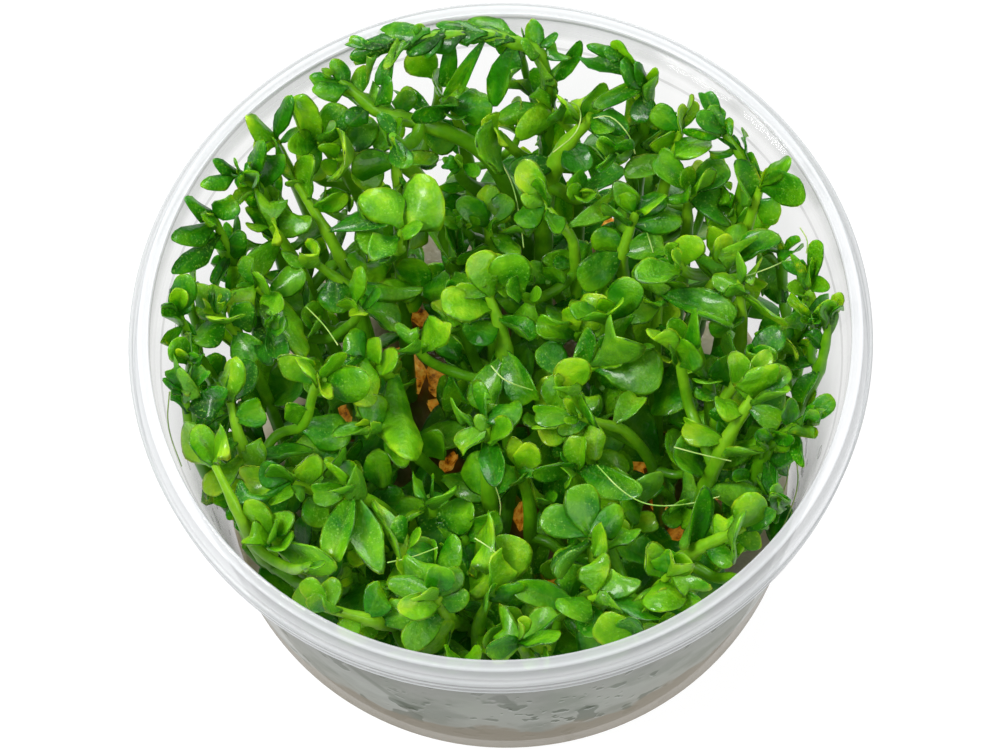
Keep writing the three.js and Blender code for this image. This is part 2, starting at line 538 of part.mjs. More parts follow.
function flakeGeometry([x, y], length, width, turn) {
  const outline = new THREE.Shape();
  outline.moveTo(-length / 2, 0);
  outline.lineTo(-length * 0.15, width / 2);
  outline.lineTo(length * 0.3, width * 0.4);
  outline.lineTo(length / 2, 0);
  outline.lineTo(length * 0.1, -width / 2);
  outline.lineTo(-length * 0.3, -width * 0.35);
  outline.closePath();
  const geometry = new THREE.ExtrudeGeometry(outline, { depth: FLAKE_THICKNESS, bevelEnabled: false });
  geometry.rotateZ(THREE.MathUtils.degToRad(turn));
  return geometry.translate(x, y, GEL_TOP + GAP);
}

export function grow() {
  const stems = SHOOTS.map(([name, thick, root, way, notes]) => (
    { name, radius: thick / 2, line: stemLine(root, way), notes, leaves: [] }));
  settle(stems);
  const grown = [];
  for (const stem of stems) {
    stem.path = new StemPath(stem.line);
    stem.spine = stem.path.getSpacedPoints(Math.round(stem.path.getLength() / RING_STEP));
    rods(stem).forEach((rod) => grown.push({ ...rod, owner: stem.name }));
  }
  for (const stem of stems) {
    for (const note of stem.notes) {
      const leaf = growLeaf(stem, note, grown);
      if (leaf) {
        stem.leaves.push(leaf);
        grown.push({ ...leaf, owner: stem.name });
      }
    }
  }
  return stems;
}

const group = new THREE.Group();

function addMesh(name, geometry, finish) {
  const mesh = new THREE.Mesh(geometry, new THREE.MeshStandardMaterial(FINISHES[finish]));
  mesh.name = name;
  group.add(mesh);
}

const stems = grow();
addMesh('cup', cupGeometry(), 'plastic');
addMesh('gel', gelGeometry(stems), 'gel');
stems.forEach((stem) => addMesh(`shoot_${stem.name}`, shootGeometry(stem), 'shoot'));
FLAKES.forEach(([name, ...sizes]) => addMesh(name, flakeGeometry(...sizes), 'flake'));

export default group;
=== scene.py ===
"""Moneywort shoots in a clear plastic cup of nutrient gel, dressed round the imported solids."""

import logging
import math
from dataclasses import dataclass, field, replace
from enum import Enum
from itertools import product
from typing import ClassVar

import bmesh
import bpy
import numpy as np
from mathutils import Matrix, Vector


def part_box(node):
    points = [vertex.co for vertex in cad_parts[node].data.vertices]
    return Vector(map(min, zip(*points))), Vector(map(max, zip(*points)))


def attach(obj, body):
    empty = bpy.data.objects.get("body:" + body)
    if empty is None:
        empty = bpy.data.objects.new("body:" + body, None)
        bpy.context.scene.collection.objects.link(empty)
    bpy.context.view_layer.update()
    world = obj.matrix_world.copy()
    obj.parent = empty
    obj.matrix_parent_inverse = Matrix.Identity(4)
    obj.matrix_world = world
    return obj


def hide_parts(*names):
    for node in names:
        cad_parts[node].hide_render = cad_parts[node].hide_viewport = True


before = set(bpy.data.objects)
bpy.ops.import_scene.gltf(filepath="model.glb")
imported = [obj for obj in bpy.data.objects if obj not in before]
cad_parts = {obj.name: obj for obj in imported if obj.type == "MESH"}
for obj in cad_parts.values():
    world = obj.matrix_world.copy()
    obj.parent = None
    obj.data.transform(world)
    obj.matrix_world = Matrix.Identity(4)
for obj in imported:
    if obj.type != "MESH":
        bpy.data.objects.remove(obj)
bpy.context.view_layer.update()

MM = 0.001
BODY = "root"
SEED = 7
LOG = logging.getLogger("moneywort")

# Sizes that the solids share, in millimetres
GEL_TOP = 8.7
LEAF_THICKNESS = 1.0
LEAF_WIDEST_AT = 0.58
PLANT_TOP = 62.5
WALL = 1.0
BASE_RADIUS = 43.0
BASE_FILLET = 4.0
WALL_TOP_RADIUS = 47.0
SHOULDER_HEIGHT = 52.0
CUP_HEIGHT = 60.0
MOUTH_RADIUS = 47.0
RIM_RADIUS = 50.0

# The photo's eye point and the level plane on which sighted points are noted
EYE = np.array([-0.34, -157.2, 417.5])
SIGHT_HEIGHT = 50.0

# Where brown flakes show on the gel, as (x, y) on the sight plane
FLAKE_SPOTS = ((-9, -3.5), (-8.5, -8), (-8, -16), (-21.5, -8), (-11, 6), (1.5, -24), (20, -24), (22, -28),
               (28, -21.5), (19, -16.5), (17, -18), (5, -33), (15, 17), (-12.5, -2))

Colour = tuple[float, float, float]


def unit(vector: np.ndarray) -> np.ndarray:
    """The vector at length one."""
    return vector / max(float(np.linalg.norm(vector)), 1e-9)


def sighted(x: float, y: float, z: float) -> np.ndarray:
    """The place at height z that the photo's eye sees at (x, y) on the sight plane, in millimetres."""
    seen = np.array([x, y, SIGHT_HEIGHT])
    return EYE + (seen - EYE) * (EYE[2] - z) / (EYE[2] - SIGHT_HEIGHT)


def as_sighted(points: np.ndarray) -> np.ndarray:
    """Where the photo's eye sees points on the sight plane, as (x, y) rows in millimetres."""
    share = (EYE[2] - SIGHT_HEIGHT) / (EYE[2] - points[:, 2])
    return EYE[:2] + (points[:, :2] - EYE[:2]) * share[:, None]


def wall_radius(z: float) -> float:
    """The cup's inside radius at a height, in millimetres."""
    slope = (WALL_TOP_RADIUS - BASE_RADIUS) / (SHOULDER_HEIGHT - BASE_FILLET)
    return BASE_RADIUS - WALL + slope * (z - BASE_FILLET)


def is_inside(points: np.ndarray, gap: float = 0.8) -> bool:
    """Whether leaf points lie inside the cup, or over its lip once above it, with a gap to spare.

    Args:
        points: Places in millimetres, as rows.
        gap: Room to the plastic in millimetres.

    Returns:
        True where every point is inside.
    """
    for x, y, z in points:
        wall = wall_radius(z) if z < SHOULDER_HEIGHT + 2 else MOUTH_RADIUS
        if math.hypot(x, y) > (RIM_RADIUS if z > CUP_HEIGHT + 0.3 else wall) - gap:
            return False
    return True


@dataclass
class Value:
    """A socket that takes part in shader maths written as Python expressions."""

    graph: "Graph"
    socket: bpy.types.NodeSocket

    def _math(self, operation: str, first: "Value | float", second: "Value | float" = 0.0) -> "Value":
        """One Math node on two operands."""
        return self.graph.add("ShaderNodeMath", {"operation": operation}, {0: first, 1: second})

    def __add__(self, other: "Value | float") -> "Value":
        """Sum."""
        return self._math("ADD", self, other)

    __radd__ = __add__

    def __sub__(self, other: "Value | float") -> "Value":
        """Difference."""
        return self._math("SUBTRACT", self, other)

    def __rsub__(self, other: "Value | float") -> "Value":
        """Difference with the number first."""
        return self._math("SUBTRACT", other, self)

    def __mul__(self, other: "Value | float") -> "Value":
        """Product."""
        return self._math("MULTIPLY", self, other)

    __rmul__ = __mul__

    def __pow__(self, other: float) -> "Value":
        """Power."""
        return self._math("POWER", self, other)

    def __abs__(self) -> "Value":
        """Size without its sign."""
        return self._math("ABSOLUTE", self)

    def ramp(self, low: float, high: float) -> "Value":
        """Runs smoothly from 0 at low to 1 at high."""
        settings = {"interpolation_type": "SMOOTHSTEP"}
        return self.graph.add("ShaderNodeMapRange", settings, {0: self, 1: low, 2: high})


class Graph:
    """A node tree with one way of adding a node."""

    def __init__(self, tree: bpy.types.NodeTree) -> None:
        """Starts from an empty tree.

        Args:
            tree: The shader or geometry tree to fill.
        """
        self.tree = tree
        tree.nodes.clear()

    def add(self, kind: str, settings: dict | None = None, sockets: dict | None = None,
            output: int | str = 0) -> Value:
        """Adds a node.

        Args:
            kind: The node's type.
            settings: Its properties; "stops" is a list of (place, colour) for a colour ramp.
            sockets: Values or links of its inputs, by name or number.
            output: The output that the result wraps.

        Returns:
            The output socket as a Value.
        """
        node = self.tree.nodes.new(kind)
        for name, value in (settings or {}).items():
            if name == "stops":
                self._set_stops(node, value)
            else:
                setattr(node, name, value)
        for name, value in (sockets or {}).items():
            if isinstance(value, Value):
                self.tree.links.new(value.socket, node.inputs[name])
            else:
                node.inputs[name].default_value = value
        return Value(self, node.outputs[output] if node.outputs else None)

    @staticmethod
    def _set_stops(node: bpy.types.Node, stops: list[tuple[float, Colour]]) -> None:
        """Sets a colour ramp's stops.

        Args:
            node: The colour ramp's node.
            stops: Places and colours.
        """
        elements = node.color_ramp.elements
        while len(elements) < len(stops):
            elements.new(1.0)
        for element, (place, colour) in zip(elements, stops):
            element.position = place
            element.color = (*colour, 1.0)

    def colours(self, amount: Value, stops: list[tuple[float, Colour]]) -> Value:
        """A colour ramp read at amount."""
        return self.add("ShaderNodeValToRGB", {"stops": stops}, {"Fac": amount})

    def mix(self, amount: Value | float, first: Value | Colour, second: Value | Colour) -> Value:
        """Mixes two colours.

        Args:
            amount: Share of the second.
            first: A colour or link.
            second: A colour or link.

        Returns:
            The mixed colour.
        """
        pair = [value if isinstance(value, Value) else (*value, 1.0) for value in (first, second)]
        sockets = {0: amount, 6: pair[0], 7: pair[1]}
        return self.add("ShaderNodeMix", {"data_type": "RGBA"}, sockets, output=2)

    def noise(self, size_mm: float, detail: float = 3.0, roughness: float = 0.5) -> Value:
        """Noise on Object coordinates with features of about size_mm.

        Args:
            size_mm: Size of a feature.
            detail: How many finer layers it has.
            roughness: How strong the finer layers are.

        Returns:
            The noise, around 0.5.
        """
        place = self.add("ShaderNodeTexCoord", output="Object")
        sockets = {"Vector": place, "Scale": 1 / (size_mm * MM), "Detail": detail, "Roughness": roughness}
        return self.add("ShaderNodeTexNoise", None, sockets)

    def attribute(self, name: str, output: str = "Fac") -> Value:
        """A mesh attribute, as its value, colour or vector."""
        return self.add("ShaderNodeAttribute", {"attribute_name": name}, output=output)

    def parts(self, vector: Value) -> tuple[Value, Value, Value]:
        """The three numbers of a vector.

        Args:
            vector: The vector to split.

        Returns:
            Its x, y and z.
        """
        split = self.add("ShaderNodeSeparateXYZ", None, {0: vector})
        outputs = split.socket.node.outputs
        return tuple(Value(self, outputs[i]) for i in range(3))

    def bump(self, height: Value, strength: float, depth_mm: float) -> Value:
        """A bumped normal."""
        sockets = {"Height": height, "Strength": strength, "Distance": depth_mm * MM}
        return self.add("ShaderNodeBump", None, sockets)

    def point(self, name: str, kind: str = "FLOAT_VECTOR") -> Value:
        """A point attribute in a geometry tree."""
        return self.add("GeometryNodeInputNamedAttribute", {"data_type": kind}, {"Name": name})

    def tube(self, curve: Value, sides: Value, radius: Value | float, scale: Value | float = 1.0) -> Value:
        """A closed round tube along a curve.

        Args:
            curve: The curve to follow.
            sides: Steps round the tube.
            radius: Its radius in metres, or 1 where scale gives it.
            scale: What multiplies the radius along the curve.

        Returns:
            The tube's mesh.
        """
        sockets = {"Resolution": sides, "Radius": radius}
        profile = self.add("GeometryNodeCurvePrimitiveCircle", None, sockets)
        sockets = {"Curve": curve, "Profile Curve": profile, "Scale": scale, "Fill Caps": True}
        return self.add("GeometryNodeCurveToMesh", None, sockets)

    def finished(self, shape: Value, material: Value) -> Value:
        """A shape made real, shaded smooth and given its material.

        Args:
            shape: The geometry, with or without instances.
            material: Its material.

        Returns:
            The finished geometry.
        """
        for step in ("RealizeInstances", "SetShadeSmooth"):
            shape = self.add(f"GeometryNode{step}", None, {0: shape})
        return self.add("GeometryNodeSetMaterial", None, {0: shape, "Material": material})


class Finish:
    """A look with one Principled shader. Each finish names itself and gives the shader's sockets."""

    label: ClassVar[str]

    def material(self) -> bpy.types.Material:
        """The node material.

        Returns:
            The material.
        """
        material = bpy.data.materials.new(self.label)
        material.use_nodes = True
        graph = Graph(material.node_tree)
        shader = graph.add("ShaderNodeBsdfPrincipled", None, self.sockets(graph))
        graph.add("ShaderNodeOutputMaterial", None, {"Surface": shader})
        return material

    def sockets(self, graph: Graph) -> dict:
        """The shader's sockets, by name."""
        raise NotImplementedError


@dataclass(frozen=True)
class LeafFinish(Finish):
    """Fleshy leaf: green varying from leaf to leaf and painted paler high up, mottled, with painted shade
    along dark edges, a fine frosty speckle that is partly painted sheen, and a faint painted glow.
    """

    label = "moneywort_leaf"
    # From deep to young, the ramp holds each leaf's own tone and the painted light and shade of its height.
    deep: Colour = (0.004, 0.05, 0.0002)
    middle: Colour = (0.016, 0.155, 0.0005)
    bright: Colour = (0.11, 0.33, 0.002)
    young: Colour = (0.34, 0.57, 0.012)
    frost: Colour = (0.26, 0.52, 0.07)
    edge: Colour = (0.004, 0.028, 0.0004)

    def sockets(self, graph: Graph) -> dict:
        """The shader's sockets.

        Args:
            graph: The material's graph.

        Returns:
            Values and links by name.
        """
        across, along, side = graph.parts(graph.attribute("blade", "Vector"))
        mottle = graph.noise(3.4, 3.0)
        fine = graph.noise(0.36, 2.0, 0.65)
        # The tint attribute carries painted light: besides each leaf's own tone, leaves are painted paler
        # the higher they sit.
        depth = graph.attribute("tint") + (mottle - 0.5) * 0.95 + (along - 0.4) * 0.25
        stops = [(0.0, self.deep), (0.36, self.middle), (0.7, self.bright), (1.0, self.young)]
        green = graph.colours(depth, stops)
        midrib = abs(across).ramp(0.14, 0.0) * side.ramp(0.4, 0.8) * 0.3
        green = graph.mix(midrib, green, self.young)
        green = graph.mix(side.ramp(0.2, -0.4) * 0.14, green, self.frost)
        # Painted shade: dark outlines, in patches, along the leaf's margin and tip.
        rim = abs(across).ramp(0.82, 0.95) + along.ramp(0.95, 1.0)
        green = graph.mix(rim * graph.noise(4.0, 2.0).ramp(0.36, 0.56) * 0.75, green, self.edge)
        # Pale frosty speckle in dusty patches: partly frost on the skin, partly painted sheen.
        dust = graph.noise(5.0, 2.0).ramp(0.4, 0.62)
        speckle = fine.ramp(0.56, 0.7) * dust
        green = graph.mix(speckle * 0.6, green, self.frost)
        skin = graph.noise(0.6, 3.0) * 0.5 + graph.noise(2.2, 2.0)
        return {
            "Base Color": green,
            # Painted glow: the leaf's own green is emitted to lift it out of the shade, standing in for
            # light passing through.
            "Emission Color": green,
            "Emission Strength": 0.1,
            "Roughness": 0.3 + mottle * 0.24 + speckle * 0.15,
            "Normal": graph.bump(skin, 0.6, 0.6),
            "Subsurface Weight": 0.55,
            "Subsurface Radius": (0.7, 1.0, 0.03),
            "Subsurface Scale": 2.2 * MM,
            "Specular IOR Level": 0.18,
            "Coat Weight": 0.24,
            "Coat Roughness": 0.14,
        }


@dataclass(frozen=True)
class StemFinish(Finish):
    """Thick juicy stem: lighter and yellower than the leaves, streaked along its length, painted paler high
    up and darker on clasping shoots, with a faint painted glow.
    """

    label = "moneywort_stem"
    shaded: Colour = (0.01, 0.075, 0.0006)
    middle: Colour = (0.08, 0.28, 0.002)
    light: Colour = (0.29, 0.57, 0.012)

    def sockets(self, graph: Graph) -> dict:
        """The shader's sockets.

        Args:
            graph: The material's graph.

        Returns:
            Values and links by name.
        """
        streak = graph.noise(1.6, 4.0)
        fine = graph.noise(0.3, 2.0)
        # The tint attribute carries painted light and shade: stems are painted paler high up, and darker low
        # down and on clasping shoots.
        depth = graph.attribute("tint") + (streak - 0.5) * 0.5
        stops = [(0.0, self.shaded), (0.5, self.middle), (1.0, self.light)]
        green = graph.colours(depth, stops)
        return {
            "Base Color": green,
            # Painted glow: the stem's own green is emitted to lift it out of the shade.
            "Emission Color": green,
            "Emission Strength": 0.07,
            "Roughness": 0.32 + streak * 0.2,
            "Normal": graph.bump(streak * 0.8 + fine * 0.2, 0.5, 0.2),
            "Subsurface Weight": 0.25,
            "Subsurface Radius": (0.5, 1.0, 0.1),
            "Subsurface Scale": 1.5 * MM,
            "Specular IOR Level": 0.25,
            "Coat Weight": 0.15,
            "Coat Roughness": 0.15,
        }


@dataclass(frozen=True)
class Blots:
    """Blots in the mist: their width and height in millimetres, and the noise from which one shows."""

    across: float
    up: float
    level: float


@dataclass(frozen=True)
class CupFinish(Finish):
    """Clear polypropylene: milky where thick, with painted highlight lines on its crests and painted shade
    lines at its edges, and fogged where moisture films it, with painted dark views through drops, painted
    highlights and a painted reflection.
    """

    label = "cup_plastic_clear"
    clear: Colour = (0.3, 0.29, 0.29)
    thick: Colour = (0.66, 0.68, 0.7)
    # Painted shade: the dark lines at the moulded edges.
    lined: Colour = (0.14, 0.14, 0.145)
    misted: Colour = (0.47, 0.488, 0.448)
    stained: Colour = (0.34, 0.3, 0.235)
    # Painted shade: the dark inside of the cup, painted where drops and thin mist would show it.
    painted_dark_view: Colour = (0.06, 0.085, 0.05)
    # Painted highlight: the bright edges of the drops and the reflection streak.
    painted_highlight: Colour = (0.66, 0.68, 0.66)
    face_on: float = 0.08
    edge_on: float = 0.45
    edge_mm: float = 0.8
    islands: Blots = Blots(5.5, 9.0, 0.58)
    streaks: Blots = Blots(2.4, 2.6, 0.62)

    def _spread(self, graph: Graph, place: Value, blots: Blots) -> tuple[Value, Value]:
        """How far each point lies in a blot, and in the painted highlight along the edge under one.

        Args:
            graph: The material's graph.
            place: Object coordinates.
            blots: Their sizes.

        Returns:
            The two shares.
        """
        layers = []
        scale = tuple(1 / (size * MM) for size in (blots.across, blots.across, blots.up))
        for shift in (0.0, self.edge_mm):
            sockets = {"Vector": place, "Location": (0.0, 0.0, shift / blots.up), "Scale": scale}
            spread = graph.add("ShaderNodeMapping", {"vector_type": "POINT"}, sockets)
            sockets = {"Vector": spread, "Scale": 1.0, "Detail": 2.5}
            noise = graph.add("ShaderNodeTexNoise", None, sockets)
            layers.append(noise.ramp(blots.level, blots.level + 0.04))
        return layers[0], (layers[1] - layers[0]).ramp(0.0, 1.0)

    def sockets(self, graph: Graph) -> dict:
        """The shader's sockets.

        Args:
            graph: The material's graph.

        Returns:
            Values and links by name.
        """
        place = graph.add("ShaderNodeTexCoord", output="Object")
        beside, _, height = graph.parts(place)
        facing = graph.add("ShaderNodeLayerWeight", None, {"Blend": 0.3}, output="Facing")
        cloud = graph.noise(9.0, 4.0)
        zone = graph.noise(14.0, 1.0).ramp(0.42, 0.56) * beside.ramp(-26 * MM, -10 * MM)
        milk, line, fog = (graph.attribute(name) for name in ("milk", "line", "fog"))
        # Milk is partly the milkiness of thick plastic and partly painted highlight lines on the rim's
        # crests.
        body = graph.mix(milk, self.clear, self.thick)
        island, island_highlight = self._spread(graph, place, self.islands)
        streak, streak_highlight = self._spread(graph, place, self.streaks)
        gel_line = (height + (cloud - 0.5) * (22 * MM)).ramp(18 * MM, 15 * MM)
        # Thinner mist is painted darker: painted shade from the inside of the cup.
        mist = graph.mix(cloud.ramp(0.45, 0.65) * 0.3, self.misted, self.painted_dark_view)
        # Painted reflection: a bright slanted streak across the left of the wall, with a thin painted shade
        # line beside it.
        slant = beside + height * 0.5
        left = beside.ramp(-12 * MM, -18 * MM)
        painted_reflection = abs(slant + 9 * MM).ramp(4.4 * MM, 3.4 * MM) * left
        shade = abs(slant + 4 * MM).ramp(1.2 * MM, 0.4 * MM) * left
        mist = graph.mix(painted_reflection * 0.28, mist, self.painted_highlight)
        mist = graph.mix(shade * 0.3, mist, self.painted_dark_view)
        # Drops and runs in the mist: painted dark views through them, with painted highlights along an edge
        # under each.
        mist = graph.mix(island * 0.5, mist, self.painted_dark_view)
        mist = graph.mix(streak * zone * 0.6, mist, self.painted_dark_view)
        mist = graph.mix(island_highlight * 0.4 + streak_highlight * zone * 0.5, mist, self.painted_highlight)
        mist = graph.mix(gel_line * 0.85, mist, self.stained)
        film = (fog * (0.85 + cloud * 0.5)).ramp(0.0, 1.0)
        # The line attribute paints shade as dark lines at the moulded edges.
        tone = graph.mix(line, graph.mix(film, body, mist), self.lined)
        alpha = self.face_on + facing ** 2.5 * (self.edge_on - self.face_on) + milk * 0.6
        return {
            "Base Color": tone,
            "Alpha": alpha + film * 0.5 + line * 0.4,
            "Roughness": 0.08 + cloud * 0.06,
            "Normal": graph.bump(cloud * fog, 0.15, 0.3),
            "Coat Weight": 0.35 - film * 0.3,
            "Coat Roughness": 0.05,
            "Specular IOR Level": 0.0,
        }


@dataclass(frozen=True)
class GelFinish(Finish):
    """Set nutrient gel: pale, cloudy and wet at the wall, and brown among the stems, partly stain and partly
    painted shade under the plants.
    """

    label = "nutrient_gel_wet"
    clear: Colour = (0.55, 0.51, 0.4)
    cloudy: Colour = (0.36, 0.31, 0.2)
    # Brown among the stems: partly stain, partly painted shade under the plants.
    stained: Colour = (0.16, 0.11, 0.04)

    def sockets(self, graph: Graph) -> dict:
        """The shader's sockets.

        Args:
            graph: The material's graph.

        Returns:
            Values and links by name.
        """
        cloud = graph.noise(6.0, 5.0)
        grain = graph.noise(0.8, 3.0)
        x, y, _ = graph.parts(graph.add("ShaderNodeTexCoord", output="Object"))
        # Darker towards the middle, under the plants: partly stain, partly painted shade.
        reach = (x * x + y * y) ** 0.5 + (cloud - 0.5) * (16 * MM)
        pale = graph.mix(cloud.ramp(0.35, 0.7), self.clear, self.cloudy)
        return {
            "Base Color": graph.mix(reach.ramp(38 * MM, 24 * MM), pale, self.stained),
            "Roughness": 0.12 + grain * 0.2,
            "Normal": graph.bump(cloud * 0.6 + grain * 0.4, 0.5, 0.6),
            "Subsurface Weight": 0.3,
            "Subsurface Radius": (1.0, 0.9, 0.7),
            "Subsurface Scale": 2.0 * MM,
            "Coat Weight": 0.5,
            "Coat Roughness": 0.08,
        }


@dataclass(frozen=True)
class RootFinish(Finish):
    """Fine pale aerial root."""

    label = "aerial_root_pale"
    green: Colour = (0.2, 0.44, 0.04)
    white: Colour = (0.48, 0.64, 0.2)

    def sockets(self, graph: Graph) -> dict:
        """The shader's sockets.

        Args:
            graph: The material's graph.

        Returns:
            Values and links by name.
        """
        patch = graph.noise(3.0, 3.0)
        return {
            "Base Color": graph.mix(patch.ramp(0.35, 0.65), self.green, self.white),
            "Roughness": 0.4 + patch * 0.2,
            "Normal": graph.bump(graph.noise(0.2), 0.3, 0.05),
            "Subsurface Weight": 0.2,
            "Subsurface Scale": 0.5 * MM,
        }


@dataclass(frozen=True)
class LitterFinish(Finish):
    """Dead leaf: orange brown, blotched and veined, with a painted glow."""

    label = "dead_leaf_brown"
    dark: Colour = (0.07, 0.02, 0.002)
    rust: Colour = (0.6, 0.2, 0.006)
    straw: Colour = (0.95, 0.52, 0.06)

    def sockets(self, graph: Graph) -> dict:
        """The shader's sockets.

        Args:
            graph: The material's graph.

        Returns:
            Values and links by name.
        """
        blotch = graph.noise(1.5, 5.0, 0.6)
        vein = graph.noise(0.5, 3.0)
        brown = graph.colours(blotch, [(0.36, self.dark), (0.47, self.rust), (0.62, self.straw)])
        return {
            "Base Color": brown,
            # Painted glow: the brown is emitted so that the flakes stay bright in the shade on the gel.
            "Emission Color": brown,
            "Emission Strength": 0.22,
            "Roughness": 0.4 + vein * 0.3,
            "Normal": graph.bump(vein * 0.5 + blotch * 0.5, 0.7, 0.3),
            "Subsurface Weight": 0.15,
            "Subsurface Scale": 0.6 * MM,
        }


@dataclass(frozen=True)
class DropletFinish(Finish):
    """Condensation: clear water with a bright edge."""

    label = "condensation_clear"
    water: Colour = (0.3, 0.3, 0.29)
    bright: Colour = (0.5, 0.5, 0.5)

    def sockets(self, graph: Graph) -> dict:
        """The shader's sockets.

        Args:
            graph: The material's graph.

        Returns:
            Values and links by name.
        """
        facing = graph.add("ShaderNodeLayerWeight", None, {"Blend": 0.5}, output="Facing")
        return {
            "Base Color": graph.mix(graph.noise(1.0), self.water, self.bright),
            "Alpha": 0.1 + facing * 0.45,
            "Roughness": 0.04,
            "IOR": 1.33,
            "Coat Weight": 0.5,
            "Coat Roughness": 0.03,
        }


@dataclass(frozen=True)
class FloorFinish(Finish):
    """Plain pale floor."""

    label = "floor_pale"
    pale: Colour = (0.1, 0.1, 0.1)
    patched: Colour = (0.08, 0.08, 0.08)

    def sockets(self, graph: Graph) -> dict:
        """The shader's sockets.

        Args:
            graph: The material's graph.

        Returns:
            Values and links by name.
        """
        return {
            "Base Color": graph.mix(graph.noise(60.0) * 0.1, self.pale, self.patched),
            "Roughness": 0.8,
            "Emission Color": (1.0, 1.0, 1.0, 1.0),
            "Emission Strength": 0.94,
        }


def plain_mesh(name: str, points: np.ndarray, faces: list[tuple[int, ...]],
               smooth: bool = True) -> bpy.types.Mesh:
    """A mesh from points in metres and faces.

    Args:
        name: The mesh's name.
        points: Corner places.
        faces: Corner numbers of each face.
        smooth: Whether it is shaded smooth.

    Returns:
        The mesh.
    """
    mesh = bpy.data.meshes.new(name)
    mesh.from_pydata([tuple(map(float, point)) for point in points], [], faces)
    mesh.polygons.foreach_set("use_smooth", [smooth] * len(mesh.polygons))
    mesh.update()
    return mesh


def add_attribute(mesh: bpy.types.Mesh, name: str, kind: str, values: np.ndarray) -> None:
    """Stores a point attribute.

    Args:
        mesh: The mesh that it is stored on.
        name: The attribute's name.
        kind: FLOAT, FLOAT_VECTOR, INT or BOOLEAN.
        values: A number, or a row of three, for each point.
    """
    layer = mesh.attributes.new(name, kind, "POINT")
    key = "vector" if kind == "FLOAT_VECTOR" else "value"
    layer.data.foreach_set(key, np.asarray(values).ravel())


def place_piece(piece: bpy.types.Object, slot: str, *nodes: str) -> None:
    """Puts a finished piece on the body, in place of its nodes.

    Args:
        piece: The finished piece.
        slot: The record's material slot; not used.
        nodes: The CAD nodes that it replaces.
    """
    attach(piece, BODY)
    if nodes:
        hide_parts(*nodes)
    faces = len(piece.data.polygons)
    LOG.info("%s: %d faces, stands for %s", piece.name, faces, ", ".join(nodes) or "no solid")


def link(name: str, mesh: bpy.types.Mesh) -> bpy.types.Object:
    """An object in the scene for a mesh.

    Args:
        name: The object's name.
        mesh: Its mesh.

    Returns:
        The new object.
    """
    piece = bpy.data.objects.new(name, mesh)
    bpy.context.scene.collection.objects.link(piece)
    return piece


def baked(source: bpy.types.Object, name: str) -> bpy.types.Object:
    """A plain mesh object made from what a modifier gives, after which the source is removed.

    Args:
        source: The object with the modifier.
        name: The new object's name.

    Returns:
        The new object.
    """
    bpy.context.view_layer.update()
    evaluated = source.evaluated_get(bpy.context.evaluated_depsgraph_get())
    mesh = bpy.data.meshes.new_from_object(evaluated)
    mesh.name = name
    source.modifiers.clear()
    bpy.data.objects.remove(source)
    return link(name, mesh)


def geometry_tree(name: str, inputs: dict[str, str]) -> tuple[Graph, dict[str, Value]]:
    """A geometry tree with named inputs.

    Args:
        name: The tree's name.
        inputs: Socket type of each input after the geometry.

    Returns:
        The graph, and its inputs by name with the geometry under "Geometry".
    """
    tree = bpy.data.node_groups.new(name, "GeometryNodeTree")
    tree.interface.new_socket("Geometry", in_out="INPUT", socket_type="NodeSocketGeometry")
    for label, kind in inputs.items():
        tree.interface.new_socket(label, in_out="INPUT", socket_type=kind)
    tree.interface.new_socket("Geometry", in_out="OUTPUT", socket_type="NodeSocketGeometry")
    graph = Graph(tree)
    entry = graph.add("NodeGroupInput").socket.node
    return graph, {socket.name: Value(graph, socket) for socket in entry.outputs if socket.name}


def run_tree(graph: Graph, source: bpy.types.Object, name: str, values: dict) -> bpy.types.Object:
    """Runs a geometry tree on an object and keeps the result as a plain mesh.

    Args:
        graph: The tree's graph.
        source: The object that carries the points.
        name: The new piece's name.
        values: The inputs' values by name.

    Returns:
        The new object.
    """
    modifier = source.modifiers.new("grow", "NODES")
    modifier.node_group = graph.tree
    for item in graph.tree.interface.items_tree:
        if item.in_out == "INPUT" and item.name in values:
            modifier[item.identifier] = values[item.name]
    return baked(source, name)


@dataclass(frozen=True)
class Curl:
    """How far a leaf leaves the flat, in radians or shares of a leaf one long and two wide."""

    cup: float = 0.3
    bend: float = 0.0
    twist: float = 0.0
    wave: float = 0.07
    fold: float = 0.0
    skew: float = 0.0
    wedge: float = 0.2

    def mirrored(self) -> "Curl":
        """The same leaf grown the other way round, a little flatter."""
        return replace(self, twist=-self.twist, skew=-self.skew, cup=self.cup * 0.8, wave=-self.wave)


class LeafForm(Enum):
    """The shapes that a leaf grows into."""

    FLAT = Curl(cup=0.35, bend=-0.3, skew=0.14)
    CUPPED = Curl(cup=1.0, bend=0.3, skew=-0.12, wedge=0.0)
    SPOON = Curl(cup=0.6, bend=0.9, twist=-0.3, wedge=0.6)
    ARCHED = Curl(cup=-0.4, bend=-1.1, twist=0.25, wedge=0.4)
    DOMED = Curl(cup=-0.9, bend=-0.5, wave=0.12, wedge=0.0)
    KEELED = Curl(bend=-0.5, fold=0.7, twist=0.3, wedge=0.6)
    WAVY = Curl(cup=0.3, bend=-0.6, twist=-0.8, wave=0.26, skew=0.22, wedge=0.5)
    CURLED = Curl(cup=1.3, bend=0.8, twist=1.1, wave=0.15)
    FURLED = Curl(cup=2.3, bend=-0.4, twist=0.5, wedge=0.4)
    HOOKED = Curl(cup=0.7, bend=-1.9, twist=-0.4, wedge=0.5)


@dataclass(frozen=True)
class Habit:
    """How a shoot carries its leaves.

    The spacings of its pairs are in millimetres, in the light near its end and in the shade below, and the
    widest opening is in degrees. Size and shape scale its leaves' length and width. There is one chance for
    each leaf form.
    """

    light_spacing: float
    shade_spacing: float
    widest: float
    tint: float
    size: float
    shape: float
    chances: tuple[float, ...]


